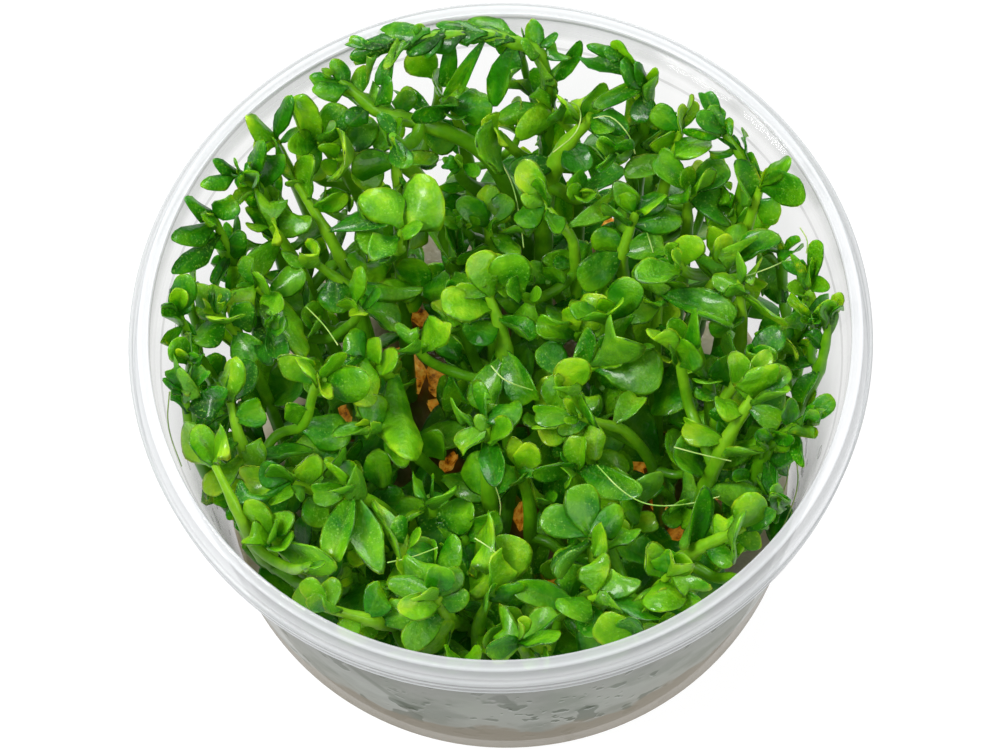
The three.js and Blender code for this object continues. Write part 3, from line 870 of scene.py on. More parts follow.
class Growth(Enum):
    """The two habits seen in the cup."""

    OPEN = Habit(8.0, 6.2, 76.0, 0.3, 1.0, 1.0, (0.17, 0.15, 0.11, 0.15, 0.13, 0.09, 0.09, 0.05, 0.02, 0.04))
    CLASPING = Habit(2.4, 3.4, 10.0, 0.08, 0.82, 0.7,
                     (0.05, 0.05, 0.05, 0.1, 0.05, 0.15, 0.15, 0.2, 0.12, 0.08))


# The number of the form that bends down, for the highest leaves
TOP_FORM = list(LeafForm).index(LeafForm.ARCHED)

CLASPING_SHOOTS = frozenset((
    "shoot_back_1", "shoot_back_left_1", "shoot_left_1", "shoot_left_2", "shoot_left_8", "shoot_left_9",
    "shoot_right_3", "shoot_right_6", "shoot_right_9", "shoot_back_right_1", "shoot_back_right_4"))

# The thinly leaved shoots, between which the wall shows
OUTER_SHOOTS = ("shoot_back", "shoot_left", "shoot_right")


def spun(x: float | np.ndarray, y: float | np.ndarray, turn: float) -> tuple:
    """A flat point, or rows of them, turned about the origin."""
    return x * math.cos(turn) - y * math.sin(turn), x * math.sin(turn) + y * math.cos(turn)


def rolled(curve: float, along: float, height: float) -> tuple[float, float]:
    """A point of a strip once the strip is rolled up by curve radians for each unit of its length.

    Args:
        curve: How far a unit of length turns, in radians.
        along: Place along the strip.
        height: Height over the strip.

    Returns:
        The new place along and up.
    """
    if abs(curve) < 1e-3:
        return along, height
    turn = curve * along
    reach, rise = math.sin(turn) / curve, (1 - math.cos(turn)) / curve
    return reach - height * math.sin(turn), rise + height * math.cos(turn)


@dataclass
class LeafForms:
    """The leaf shapes that the shoots repeat, as a collection outside the scene."""

    along: tuple[float, ...] = (0.0, 0.12, 0.27, 0.44, 0.61, 0.76, 0.88, 0.95, 0.988)
    half_width: tuple[float, ...] = (0.26, 0.41, 0.72, 0.93, 1.0, 0.94, 0.77, 0.56, 0.31)
    thickness: tuple[float, ...] = (0.16, 0.13, 0.1, 0.085, 0.077, 0.07, 0.06, 0.048, 0.036)
    ring: int = 8
    squareness: float = 0.55
    groove: float = 0.5
    narrowest: float = 0.22

    def build(self) -> bpy.types.Collection:
        """Makes one mesh for each form.

        Returns:
            The collection, in the order of the forms.
        """
        collection = bpy.data.collections.new("leaf_forms")
        for number, form in enumerate(LeafForm):
            for hand, curl in enumerate((form.value, form.value.mirrored())):
                mesh = self._mesh(f"leaf_form_{number:02d}_{hand}", curl)
                collection.objects.link(bpy.data.objects.new(mesh.name, mesh))
        return collection

    def _mesh(self, name: str, curl: Curl) -> bpy.types.Mesh:
        """One closed leaf a unit long and two units wide, lying along Y and facing Z.

        Args:
            name: The mesh's name.
            curl: How far it leaves the flat.

        Returns:
            The mesh.
        """
        points, blade = [], []
        for t, half, thick in zip((*self.along, 1.0), (*self.half_width, 0.0), (*self.thickness, 0.0)):
            half = half if t > LEAF_WIDEST_AT else max(self.narrowest, half) ** (1 + curl.wedge)
            for i in range(self.ring if thick else 1):
                across, up = self._section(2 * math.pi * i / self.ring) if thick else (0.0, 0.0)
                points.append(self._curled(across * half, t, up * thick, curl))
                blade.append((across, t, up))
        faces = []
        for row in range(len(self.along) - 1):
            for i in range(self.ring):
                a, b = row * self.ring + i, row * self.ring + (i + 1) % self.ring
                faces.append((a, a + self.ring, b + self.ring, b))
        tip, last = len(points) - 1, (len(self.along) - 1) * self.ring
        faces += [(last + i, tip, last + (i + 1) % self.ring) for i in range(self.ring)]
        faces.append(tuple(range(self.ring)))
        mesh = plain_mesh(name, np.array(points), faces)
        add_attribute(mesh, "blade", "FLOAT_VECTOR", np.array(blade))
        return mesh

    def _section(self, turn: float) -> tuple[float, float]:
        """A point of the blade's section: flat with tight edges, grooved along the middle of its face.

        Args:
            turn: The angle round the section.

        Returns:
            The place across and up.
        """
        across, up = (math.copysign(abs(side) ** self.squareness, side)
                      for side in (math.cos(turn), math.sin(turn)))
        return across, self.groove if up > 0.99 else up

    @staticmethod
    def _curled(x: float, t: float, height: float, curl: Curl) -> tuple[float, float, float]:
        """Where a point of the flat leaf goes.

        Args:
            x: Place across.
            t: Place along, from 0 to 1.
            height: Place up.
            curl: How far the leaf leaves the flat.

        Returns:
            The place across, along and up.
        """
        x *= 1 + curl.skew * math.copysign(1, x)
        height += curl.fold * abs(x) * (1 - 0.5 * t) + curl.wave * math.sin(9 * t + 2.5 * x) * abs(x)
        across, up = spun(*rolled(curl.cup, x, height), curl.twist * t)
        along, up = rolled(curl.bend, t, up)
        return across, along, up


@dataclass
class Leaf:
    """One leaf: where it starts, which way it runs and faces, and its size in millimetres."""

    base: np.ndarray
    along: np.ndarray
    face: np.ndarray
    length: float
    width: float
    tint: float = 0.5
    form: int = 0
    shares: ClassVar[tuple[float, ...]] = (0.45, 0.72, 0.98)
    widest_at: ClassVar[float] = 0.65
    rise: ClassVar[float] = 0.4

    def samples(self) -> np.ndarray:
        """Three points along the blade, for keeping leaves off each other."""
        return np.array([self.base + self.along * self.length * share for share in self.shares])

    def outline(self) -> np.ndarray:
        """The tip and the two sides where the leaf is widest.

        Returns:
            Three places as rows.
        """
        side = np.cross(self.along, self.face) * self.width / 2
        middle = self.base + self.along * self.length * self.widest_at
        return np.array([self.base + self.along * self.length, middle + side, middle - side])

    def keep_low(self) -> None:
        """Lays a leaf near the top of the plants flat or bent down, so that it stays under their height."""
        if self.samples()[:, 2].max() + self.length * self.rise > PLANT_TOP:
            self.face = unit(np.array([0, 0, 1.0]) - self.along * self.along[2])
            self.form = self.form % 2 + 2 * TOP_FORM

    def turns(self) -> Vector:
        """The rotation that lays a form along this leaf, as Euler angles.

        Returns:
            The three angles.
        """
        side = np.cross(self.along, self.face)
        axes = Matrix((side, self.along, self.face)).transposed()
        return Vector(axes.to_euler())


@dataclass
class Solid:
    """The corners of one shoot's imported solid, from which its stem and leaves are read.

    Slack is how far a length may be off, and square how far a right angle's cosine may. The half widths
    of a leaf and the nearest tip keep other corners out. All lengths are in millimetres.
    """

    node: str
    slack: float = 0.004
    square: float = 0.03
    half_widths: tuple[float, float] = (0.8, 3.6)
    nearest_tip: float = 0.5
    corners: np.ndarray = field(init=False)

    def __post_init__(self) -> None:
        """Merges the loose triangles' corners, in millimetres."""
        shape = bmesh.new()
        shape.from_mesh(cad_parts[self.node].data)
        bmesh.ops.remove_doubles(shape, verts=shape.verts, dist=0.002 * MM)
        self.corners = np.array([vert.co for vert in shape.verts]) / MM
        shape.free()

    def _pairs(self, distance: float) -> list[tuple[np.ndarray, np.ndarray]]:
        """Midpoint and direction of every two corners that stand the distance apart.

        Args:
            distance: How far apart they stand.

        Returns:
            Midpoints and unit directions.
        """
        gaps = self.corners[:, None] - self.corners[None]
        lengths = np.linalg.norm(gaps, axis=2)
        firsts, seconds = np.where(np.triu(abs(lengths - distance) < self.slack))
        middles = (self.corners[firsts] + self.corners[seconds]) / 2
        return list(zip(middles, gaps[firsts, seconds] / distance))

    def thickness(self) -> float:
        """The stem's thickness, across the corners of its foot."""
        foot = self.corners[np.argsort(self.corners[:, 2])[:4]]
        return float(np.linalg.norm(foot - foot[0], axis=1).max())

    def rings(self) -> list[np.ndarray]:
        """The middles of the stem's rings: two crossed pairs of corners with one midpoint.

        Returns:
            One middle for each ring, in no order.
        """
        pairs = self._pairs(self.thickness())
        centres = []
        for number, (middle, direction) in enumerate(pairs):
            for other, across in pairs[number + 1:]:
                meet = np.linalg.norm(middle - other) < self.slack
                if meet and abs(direction @ across) < self.square:
                    centres.append(middle)
        return centres

    def leaves(self) -> list[Leaf]:
        """The leaves: a top and an underside corner, two sides level with them, and a tip.

        Returns:
            The leaves that were found.
        """
        found = []
        narrow, wide = self.half_widths
        for middle, face in self._pairs(LEAF_THICKNESS):
            reach = self.corners - middle
            level = abs(reach @ face) < self.slack
            for number in np.where(level)[0]:
                half = float(np.linalg.norm(reach[number]))
                opposite = np.linalg.norm(reach + reach[number], axis=1).argmin()
                paired = np.linalg.norm(reach[opposite] + reach[number]) < self.slack
                if opposite > number and paired and narrow < half < wide:
                    found += self._tips(middle, face, reach, reach[number] / half, 2 * half)
        return found

    def _tips(self, middle: np.ndarray, face: np.ndarray, reach: np.ndarray, side: np.ndarray,
              width: float) -> list[Leaf]:
        """The leaf whose tip stands square to its face and side, turned to face the eye.

        Args:
            middle: The middle of the leaf's widest place.
            face: Square to its blade.
            reach: All corners, seen from the middle.
            side: Level across the blade.
            width: The leaf's width.

        Returns:
            One leaf, or none where no tip fits.
        """
        out = face if face @ (EYE - middle) > 0 else -face
        found = []
        for along in (np.cross(face, side), np.cross(side, face)):
            ahead = reach @ along
            straight = (abs(reach @ face) < self.slack) & (abs(reach @ side) < self.slack)
            straight &= ahead > self.nearest_tip
            for ahead_of_middle in ahead[straight][:1]:
                length = float(ahead_of_middle) / (1 - LEAF_WIDEST_AT)
                base = middle - along * length * LEAF_WIDEST_AT
                found.append(Leaf(base, along, out, length, width))
        return found


def in_order(points: list[np.ndarray], apart: float = 1.2) -> np.ndarray:
    """Points strung from the lowest to the next nearest, leaving out those that crowd.

    Args:
        points: Places in millimetres.
        apart: The least distance between two in turn.

    Returns:
        The points as rows, from the lowest on.
    """
    left = sorted(points, key=lambda point: point[2])
    line = [left.pop(0)]
    while left:
        nearest = min(range(len(left)), key=lambda i: np.linalg.norm(left[i] - line[-1]))
        point = left.pop(nearest)
        if np.linalg.norm(point - line[-1]) > apart:
            line.append(point)
    return np.array(line)


def rounded(line: np.ndarray, cuts: int = 2) -> np.ndarray:
    """A line with its corners cut, which turns it into a curve.

    Args:
        line: Points as rows.
        cuts: How often the corners are cut.

    Returns:
        The finer line, with the same ends.
    """
    for _ in range(cuts):
        near = line[:-1] * 0.75 + line[1:] * 0.25
        far = line[:-1] * 0.25 + line[1:] * 0.75
        line = np.vstack([line[:1], np.stack([near, far], 1).reshape(-1, 3), line[-1:]])
    return line


def even_points(line: np.ndarray, step: float) -> np.ndarray:
    """Points a step apart along a line.

    Args:
        line: Points as rows.
        step: The distance between new points.

    Returns:
        The new points as rows.
    """
    lengths = np.concatenate([[0.0], np.cumsum(np.linalg.norm(np.diff(line, axis=0), axis=1))])
    places = np.linspace(0, lengths[-1], max(3, round(lengths[-1] / step) + 1))
    return np.stack([np.interp(places, lengths, line[:, axis]) for axis in range(3)], 1)


def lightness(height: float | np.ndarray, heights: tuple[float, float]) -> float | np.ndarray:
    """How far a height lies from the shade's to the light's height, from 0 to 1."""
    return np.clip((height - heights[0]) / (heights[1] - heights[0]), 0, 1)


@dataclass
class Stem:
    """A stretch of stem from its root end to its tip, in millimetres."""

    line: np.ndarray
    radius: float
    number: int = -1
    swelling: ClassVar[float] = 0.25
    swelling_reach: ClassVar[float] = 0.9

    def length(self) -> float:
        """Its length along the line."""
        return float(np.linalg.norm(np.diff(self.line, axis=0), axis=1).sum())

    def place(self, down: float) -> int:
        """The number of the line's point that lies a distance down from the tip."""
        last = len(self.line) - 1
        return max(0, last - round(down / self.length() * last))

    def heading(self, at: int) -> np.ndarray:
        """Which way the stem runs at a point."""
        return unit(self.line[min(at + 1, len(self.line) - 1)] - self.line[max(at - 1, 0)])

    def radii(self, bases: np.ndarray, taper_to: float = 0.45) -> np.ndarray:
        """The radius at each point: tapered towards the tip and swollen where leaves sit.

        Args:
            bases: Where leaves sit, as rows.
            taper_to: The tip's share of the radius.

        Returns:
            One radius for each point of the line.
        """
        taper = np.interp(np.linspace(0, 1, len(self.line)), [0, 0.8, 1], [1.0, 0.92, taper_to])
        near = np.linalg.norm(self.line[:, None] - bases[None], axis=2).min(axis=1)
        return self.radius * taper * (1 + self.swelling * np.exp(-(near / self.swelling_reach) ** 2))


@dataclass
class Shoot:
    """One leafy shoot: a jointed stem with large leaves where the solid has them, smaller ones between
    them and leafy side branches in the shade. Its lengths are in millimetres, and a depth is a length
    down the stem from its tip."""

    node: str
    step: float = 1.0
    stem_share: float = 0.58

    # Where the pairs sit
    first_pair: float = 0.5
    bud_spacing: float = 1.8
    bud_depth: float = 2.6
    light_depth: float = 20.0
    outer_spacing: float = 1.7
    bare_foot: float = 6.0
    bare_branch_foot: float = 2.5
    clear_of_gel: float = 3.0

    # How large a leaf is, with the least, likeliest and greatest share of its size and of its width
    bud_length: float = 3.0
    leaf_length: float = 9.0
    bud_growth: float = 0.35
    grown_depth: float = 7.0
    sizes: tuple[float, float, float] = (0.5, 0.95, 1.6)
    shapes: tuple[float, float, float] = (0.45, 0.88, 0.92)
    room: float = 0.21
    small_width: float = 4.6
    enlarged: tuple[float, float] = (1.3, 1.08)

    # How a leaf is turned, in degrees, and the turns, leans and sizes that are tried in order
    least_open: float = 18.0
    opening: float = 7.0
    open_spread: float = 14.0
    roll_spread: float = 34.0
    large_roll_spread: float = 30.0
    tilt_spread: float = 0.25
    facing: tuple[float, float, float] = (0.0, -0.15, 0.5)
    pair_turn: float = 90.0
    turn_spread: float = 12.0
    clasping_turn_spread: float = 25.0
    sunk: float = 0.4
    raised: float = 0.7
    tries: tuple[tuple[float, float, float], ...] = (
        (0, 0, 1), (35, 0, 1), (-35, 0, 1), (0, 25, 0.95), (0, -25, 0.95), (65, 10, 0.9), (-65, 10, 0.9),
        (20, 40, 0.8), (-20, -40, 0.8))

    # Colour from 0, deep, to 1, young, with painted light that rises between the shade's and the light's
    # height, and painted shade on clasping shoots' stems
    leaf_heights: tuple[float, float] = (15.0, 55.0)
    leaf_tint: float = 0.04
    leaf_painted_light: float = 0.18
    leaf_spread: float = 0.13
    bud_light: float = 0.06
    top_tint: float = 0.68
    stem_heights: tuple[float, float] = (14.0, 50.0)
    stem_tint: float = 0.14
    stem_painted_light: float = 0.58
    stem_spread: float = 0.07
    clasping_shade: float = 0.2

    # Side branches
    branch_spacing: float = 7.2
    outer_branch_spacing: float = 2.8
    branch_start: float = 6.0
    branchless_foot: float = 9.0
    branch_lengths: tuple[float, float] = (8.0, 19.0)
    branch_rises: tuple[float, float] = (-0.1, 0.5)
    branch_radii: tuple[float, float] = (0.6, 0.9)
    branch_sway: float = 0.12
    branch_tries: int = 10
    shown_over: float = 32.0
    shown_share: float = 0.6

    is_clasping: bool = field(init=False)
    is_outer: bool = field(init=False)
    stems: list[Stem] = field(init=False)
    leaves: list[Leaf] = field(init=False)
    habit: Habit = field(init=False)

    def __post_init__(self) -> None:
        """Reads the stem and the large leaves from the solid."""
        solid = Solid(self.node)
        self.leaves = solid.leaves()
        bases = [leaf.base for leaf in self.leaves]
        line = even_points(rounded(in_order(solid.rings() + bases)), self.step)
        self.stems = [Stem(line, solid.thickness() * self.stem_share)]
        self.is_clasping = self.node in CLASPING_SHOOTS
        self.is_outer = self.node.startswith(OUTER_SHOOTS)
        self.habit = (Growth.CLASPING if self.is_clasping else Growth.OPEN).value

    def vary(self, chance: np.random.Generator) -> None:
        """Gives the large leaves their roll, colour and form.

        Args:
            chance: The random numbers.
        """
        for number, plain in enumerate(self.leaves):
            roll = math.radians(chance.normal(0, self.large_roll_spread))
            side = np.cross(plain.along, plain.face)
            face = unit(plain.face * math.cos(roll) + side * math.sin(roll))
            tint, form = self.tint_at(plain.base, chance), self.pick_form(chance)
            leaf = replace(plain, face=face, tint=tint, form=form)
            if not self.is_clasping and leaf.width < self.small_width:
                wider, longer = self.enlarged
                leaf = replace(leaf, width=leaf.width * wider, length=leaf.length * longer)
            leaf = leaf if is_inside(leaf.outline()) else replace(plain, tint=tint)
            leaf.keep_low()
            self.leaves[number] = leaf

    def tint_at(self, place: np.ndarray, chance: np.random.Generator) -> float:
        """Leaf colour from 0, deep, to 1, young: painted light makes it paler high up.

        Args:
            place: Where the leaf sits.
            chance: The random numbers.

        Returns:
            The tint.
        """
        height = lightness(place[2], self.leaf_heights)
        tint = self.habit.tint + self.leaf_tint + self.leaf_painted_light * height
        tint += chance.normal(0, self.leaf_spread)
        return float(np.clip(tint, 0.0, self.top_tint))

    def pick_form(self, chance: np.random.Generator) -> int:
        """The number of a leaf form that suits the shoot's habit."""
        return 2 * int(chance.choice(len(LeafForm), p=self.habit.chances)) + int(chance.integers(2))

    def add_branches(self, crowd: "Crowd", chance: np.random.Generator) -> None:
        """Grows side branches from the shaded part of the stem wherever there is room.

        Args:
            crowd: What it has to keep clear of.
            chance: The random numbers.
        """
        main = self.stems[0]
        down = self.light_depth - self.branch_start
        spacing = self.branch_spacing * (self.outer_branch_spacing if self.is_outer else 1.0)
        while down < main.length() - self.branchless_foot:
            branch = self._branch(main, main.place(down), crowd, chance)
            if branch is not None:
                self.stems.append(branch)
                crowd.add_stem(branch, 2)
                high = branch.line[:, 2] > self.shown_over
                crowd.show(branch.line[high], branch.radius * self.shown_share)
            down += spacing * chance.uniform(0.7, 1.3)

    def _branch(self, main: Stem, at: int, crowd: "Crowd", chance: np.random.Generator) -> Stem | None:
        """A branch that leaves the main stem level and turns upwards, if one of a few tries has room.

        Args:
            main: The main stem.
            at: The number of the stem's point.
            crowd: What it has to keep clear of.
            chance: The random numbers.

        Returns:
            The branch, or None.
        """
        start = main.line[at]
        rise = np.array([0.0, 0.0, 1.0])
        for _ in range(self.branch_tries):
            bearing, length = chance.uniform(0, 2 * math.pi), chance.uniform(*self.branch_lengths)
            slope = chance.uniform(*self.branch_rises)
            out = np.array([math.cos(bearing), math.sin(bearing), slope]) * length
            sway = chance.normal(0, self.branch_sway, 3) * length
            knee = start + out * 0.5 + sway
            points = [start, start + out * 0.3, knee, knee + out * 0.2 + rise * length * 0.3,
                      knee + out * 0.25 + rise * length * 0.55 + sway * 0.5]
            line = even_points(rounded(np.array(points), 3), self.step)
            stem = Stem(line, main.radius * chance.uniform(*self.branch_radii))
            if crowd.has_room(stem.line[3:], stem.radius):
                return stem
        return None

    def add_small_leaves(self, crowd: "Crowd", chance: np.random.Generator) -> None:
        """Grows opposite pairs down every stem wherever there is room.

        Args:
            crowd: What it has to keep clear of.
            chance: The random numbers.
        """
        for number, stem in enumerate(self.stems):
            spin = chance.uniform(0, 180)
            down = self.first_pair
            foot = self.bare_foot if number == 0 else self.bare_branch_foot
            while down < stem.length() - foot:
                at = stem.place(down)
                if stem.line[at][2] < GEL_TOP + self.clear_of_gel:
                    break
                for half_turn in (0, 180):
                    leaf = self._room_for(stem, at, down, spin + half_turn, crowd, chance)
                    if leaf is not None:
                        self.leaves.append(leaf)
                        owner = stem.number if self.is_clasping else -1
                        crowd.add(leaf.samples(), leaf.width * self.room, owner)
                if self.is_clasping:
                    spin = chance.normal(0, self.clasping_turn_spread)
                else:
                    spin = spin + self.pair_turn + chance.normal(0, self.turn_spread)
                down += self._spacing(down, number == 0) * chance.uniform(0.8, 1.2)

    def _spacing(self, down: float, is_main: bool) -> float:
        """How far below a pair the next one stands.

        Args:
            down: Depth of the pair.
            is_main: Whether it is on the main stem.

        Returns:
            The distance to the next pair.
        """
        if down < self.bud_depth:
            return self.bud_spacing
        if is_main and down < self.light_depth:
            return self.habit.light_spacing
        return self.habit.shade_spacing * (self.outer_spacing if self.is_outer else 1.0)

    def _room_for(self, stem: Stem, at: int, down: float, spin: float, crowd: "Crowd",
                  chance: np.random.Generator) -> Leaf | None:
        """A small leaf at a stem point, tried at a few angles and sizes until one has room.

        Args:
            stem: The stem that bears it.
            at: The number of the stem's point.
            down: Its depth.
            spin: Its angle round the stem in degrees.
            crowd: What it has to keep clear of.
            chance: The random numbers.

        Returns:
            The leaf, or None.
        """
        ahead = stem.heading(at)
        level = unit(np.cross(ahead, [0.2, 0.1, 1.0]))
        over = np.cross(level, ahead)
        grown = min(1.0, self.bud_growth + down / self.grown_depth)
        length = self.bud_length + (self.leaf_length - self.bud_length) * grown
        length *= chance.triangular(*self.sizes)
        length *= self.habit.size
        open_angle = min(self.habit.widest, self.least_open + down * self.opening)
        open_angle += chance.normal(0, self.open_spread)
        shape = chance.triangular(*self.shapes) * self.habit.shape
        tint = self.tint_at(stem.line[at], chance) + (self.bud_light if down < self.bud_depth else 0.0)
        form = self.pick_form(chance)
        roll = math.radians(chance.normal(0, self.roll_spread))
        tilt = chance.normal(0, self.tilt_spread, 3)
        for turn, lean, size in self.tries:
            angle, opened = math.radians(spin + turn), math.radians(open_angle + lean)
            out = level * math.cos(angle) + over * math.sin(angle)
            along = unit(ahead * math.cos(opened) + out * math.sin(opened))
            face = ahead + self.facing + tilt
            face = unit(face - along * (face @ along))
            face = unit(face * math.cos(roll) + np.cross(along, face) * math.sin(roll))
            base = stem.line[at] + out * stem.radius * self.sunk
            if self.is_clasping:
                base = base + np.array([0, 0, self.raised * stem.radius])
            leaf = Leaf(base, along, face, length * size, length * size * shape, tint, form)
            leaf.keep_low()
            room, hides = leaf.width * self.room, down > self.bud_depth
            if is_inside(leaf.outline()) and crowd.has_room(leaf.samples(), room, hides, stem.number):
                return leaf
        return None

    def source(self) -> bpy.types.Object:
        """The points that the shoot's tree grows: the stems' lines and one point for each leaf.

        Returns:
            The object that carries the points.
        """
        bases = np.array([leaf.base for leaf in self.leaves])
        lines, edges, radii, tints = [], [], [], []
        for number, stem in enumerate(self.stems):
            first, count = sum(map(len, lines)), len(stem.line)
            edges += [(first + i, first + i + 1) for i in range(count - 1)]
            lines.append(stem.line)
            radii.append(stem.radii(bases) * MM)
            # Painted light and shade: each stem is painted paler the higher it runs, and darker on clasping
            # shoots.
            light = self.stem_painted_light * lightness(stem.line[:, 2], self.stem_heights)
            shade = self.clasping_shade if self.is_clasping else 0.0
            tints.append(self.stem_tint + light - shade + self.stem_spread * math.sin(5 * number + 1))
        stalk, leafy = sum(map(len, lines)), len(self.leaves)
        blank, none = np.zeros((stalk, 3)), np.zeros(stalk)
        sizes = [(leaf.width / 2, leaf.length, leaf.width / 4 + leaf.length / 4) for leaf in self.leaves]
        mesh = bpy.data.meshes.new("shoot_points")
        mesh.from_pydata((np.vstack([*lines, bases]) * MM).tolist(), edges, [])
        add_attribute(mesh, "is_leaf", "BOOLEAN", np.arange(stalk + leafy) >= stalk)
        add_attribute(mesh, "stem_radius", "FLOAT", np.concatenate([*radii, np.zeros(leafy)]))
        turns = np.array([leaf.turns() for leaf in self.leaves])
        add_attribute(mesh, "turns", "FLOAT_VECTOR", np.vstack([blank, turns]))
        add_attribute(mesh, "sizes", "FLOAT_VECTOR", np.vstack([blank, np.array(sizes) * MM]))
        forms = np.concatenate([none, [leaf.form for leaf in self.leaves]])
        add_attribute(mesh, "form", "INT", forms.astype(int))
        add_attribute(mesh, "tint", "FLOAT", np.concatenate([*tints, [leaf.tint for leaf in self.leaves]]))
        return link("shoot_points", mesh)


class Crowd:
    """Everything that branches and small leaves have to keep clear of."""

    cell = 4.0
    window = 1.0

    def __init__(self, windows: np.ndarray) -> None:
        """Starts empty.

        Args:
            windows: Spots on the sight plane through which the gel stays in view.
        """
        self.cells: dict[tuple[int, ...], list[tuple[float, ...]]] = {}
        self.shown = np.zeros((0, 4))
        self.windows = windows
        self.stems = 0

    def add(self, points: np.ndarray, radius: float, owner: int = -1) -> None:
        """Adds points that share a radius.

        Args:
            points: Places as rows.
            radius: The room that each takes.
            owner: The number of the stem whose leaves may touch them.
        """
        for point in points:
            key = tuple(int(c // self.cell) for c in point)
            self.cells.setdefault(key, []).append((*point, radius, owner))

    def add_stem(self, stem: Stem, first: int = 0) -> None:
        """Numbers a stem and adds its line from a point on.

        Args:
            stem: The stem.
            first: The first point that is added.
        """
        stem.number = self.stems
        self.stems += 1
        self.add(stem.line[first:], stem.radius, stem.number)

    def show(self, points: np.ndarray, radius: float) -> None:
        """Adds points that small leaves must not hide from the photo's eye."""
        rows = np.column_stack([as_sighted(points), points[:, 2], np.full(len(points), radius)])
        self.shown = np.vstack([self.shown, rows])

    def has_room(self, points: np.ndarray, radius: float, hides: bool = False, owner: int = -2) -> bool:
        """Whether points lie inside the cup, over the gel, off the windows and clear of the rest.

        Args:
            points: Places in millimetres.
            radius: The room that each needs.
            hides: Whether they are also kept from hiding what is shown.
            owner: The number of the stem that they may touch.

        Returns:
            True where there is room.
        """
        heights = points[:, 2]
        if heights.min() < GEL_TOP + 1 or heights.max() > PLANT_TOP - 0.7:
            return False
        if not is_inside(points):
            return False
        seen = as_sighted(points)
        if (np.linalg.norm(seen[:, None] - self.windows[None], axis=2) < self.window + radius).any():
            return False
        if hides and self._hides(seen, heights, radius):
            return False
        return all(self._is_clear(point, radius, owner) for point in points)

    def _hides(self, seen: np.ndarray, heights: np.ndarray, radius: float) -> bool:
        """Whether any point stands between the eye and what is shown."""
        near = np.linalg.norm(seen[:, None] - self.shown[None, :, :2], axis=2) < self.shown[:, 3] + radius
        return bool((near & (heights[:, None] > self.shown[:, 2] - 0.5)).any())

    def _is_clear(self, point: np.ndarray, radius: float, owner: int) -> bool:
        """Whether a point keeps its distance from all in the cells round it.

        Args:
            point: The place.
            radius: The room that it needs.
            owner: The number of the stem that it may touch.

        Returns:
            True where it is clear.
        """
        i, j, k = (int(c // self.cell) for c in point)
        for key in product((i - 1, i, i + 1), (j - 1, j, j + 1), (k - 1, k, k + 1)):
            for x, y, z, other, stem in self.cells.get(key, ()):
                gap = radius + other
                apart = (point[0] - x) ** 2 + (point[1] - y) ** 2 + (point[2] - z) ** 2
                if stem != owner and apart < gap * gap:
                    return False
        return True


def shoot_tree(forms: bpy.types.Collection) -> Graph:
    """The tree that grows a stem along its line and sets a leaf form on each leaf point.

    Args:
        forms: The leaf forms.

    Returns:
        The tree's graph.
    """
    inputs = {"Step": "NodeSocketFloat", "Sides": "NodeSocketInt", "Leaf": "NodeSocketMaterial",
              "Stem": "NodeSocketMaterial"}
    graph, given = geometry_tree("grow_shoot", inputs)
    leafy = graph.point("is_leaf", "BOOLEAN")
    sockets = {0: given["Geometry"], 1: leafy}
    split = graph.add("GeometryNodeSeparateGeometry", {"domain": "POINT"}, sockets)
    spots, stalk = (Value(graph, split.socket.node.outputs[i]) for i in range(2))
    curve = graph.add("GeometryNodeMeshToCurve", None, {0: stalk})
    sockets = {"Curve": curve, "Length": given["Step"]}
    curve = graph.add("GeometryNodeResampleCurve", {"mode": "LENGTH"}, sockets)
    stem = graph.tube(curve, given["Sides"], 1.0, graph.point("stem_radius", "FLOAT"))
    sockets = {"Collection": forms, "Separate Children": True}
    shapes = graph.add("GeometryNodeCollectionInfo", None, sockets)
    turn = graph.add("FunctionNodeEulerToRotation", None, {0: graph.point("turns")})
    sockets = {"Points": spots, "Instance": shapes, "Pick Instance": True, "Rotation": turn,
               "Instance Index": graph.point("form", "INT"), "Scale": graph.point("sizes")}
    leaves = graph.add("GeometryNodeInstanceOnPoints", None, sockets)
    join = graph.add("GeometryNodeJoinGeometry")
    for part in (stem, leaves):
        graph.tree.links.new(part.socket, join.socket.node.inputs[0])
    whole = graph.finished(join, given["Stem"])
    sockets = {0: whole, "Selection": leafy, "Material": given["Leaf"]}
    whole = graph.add("GeometryNodeSetMaterial", None, sockets)
    graph.add("NodeGroupOutput", None, {0: whole})
    return graph


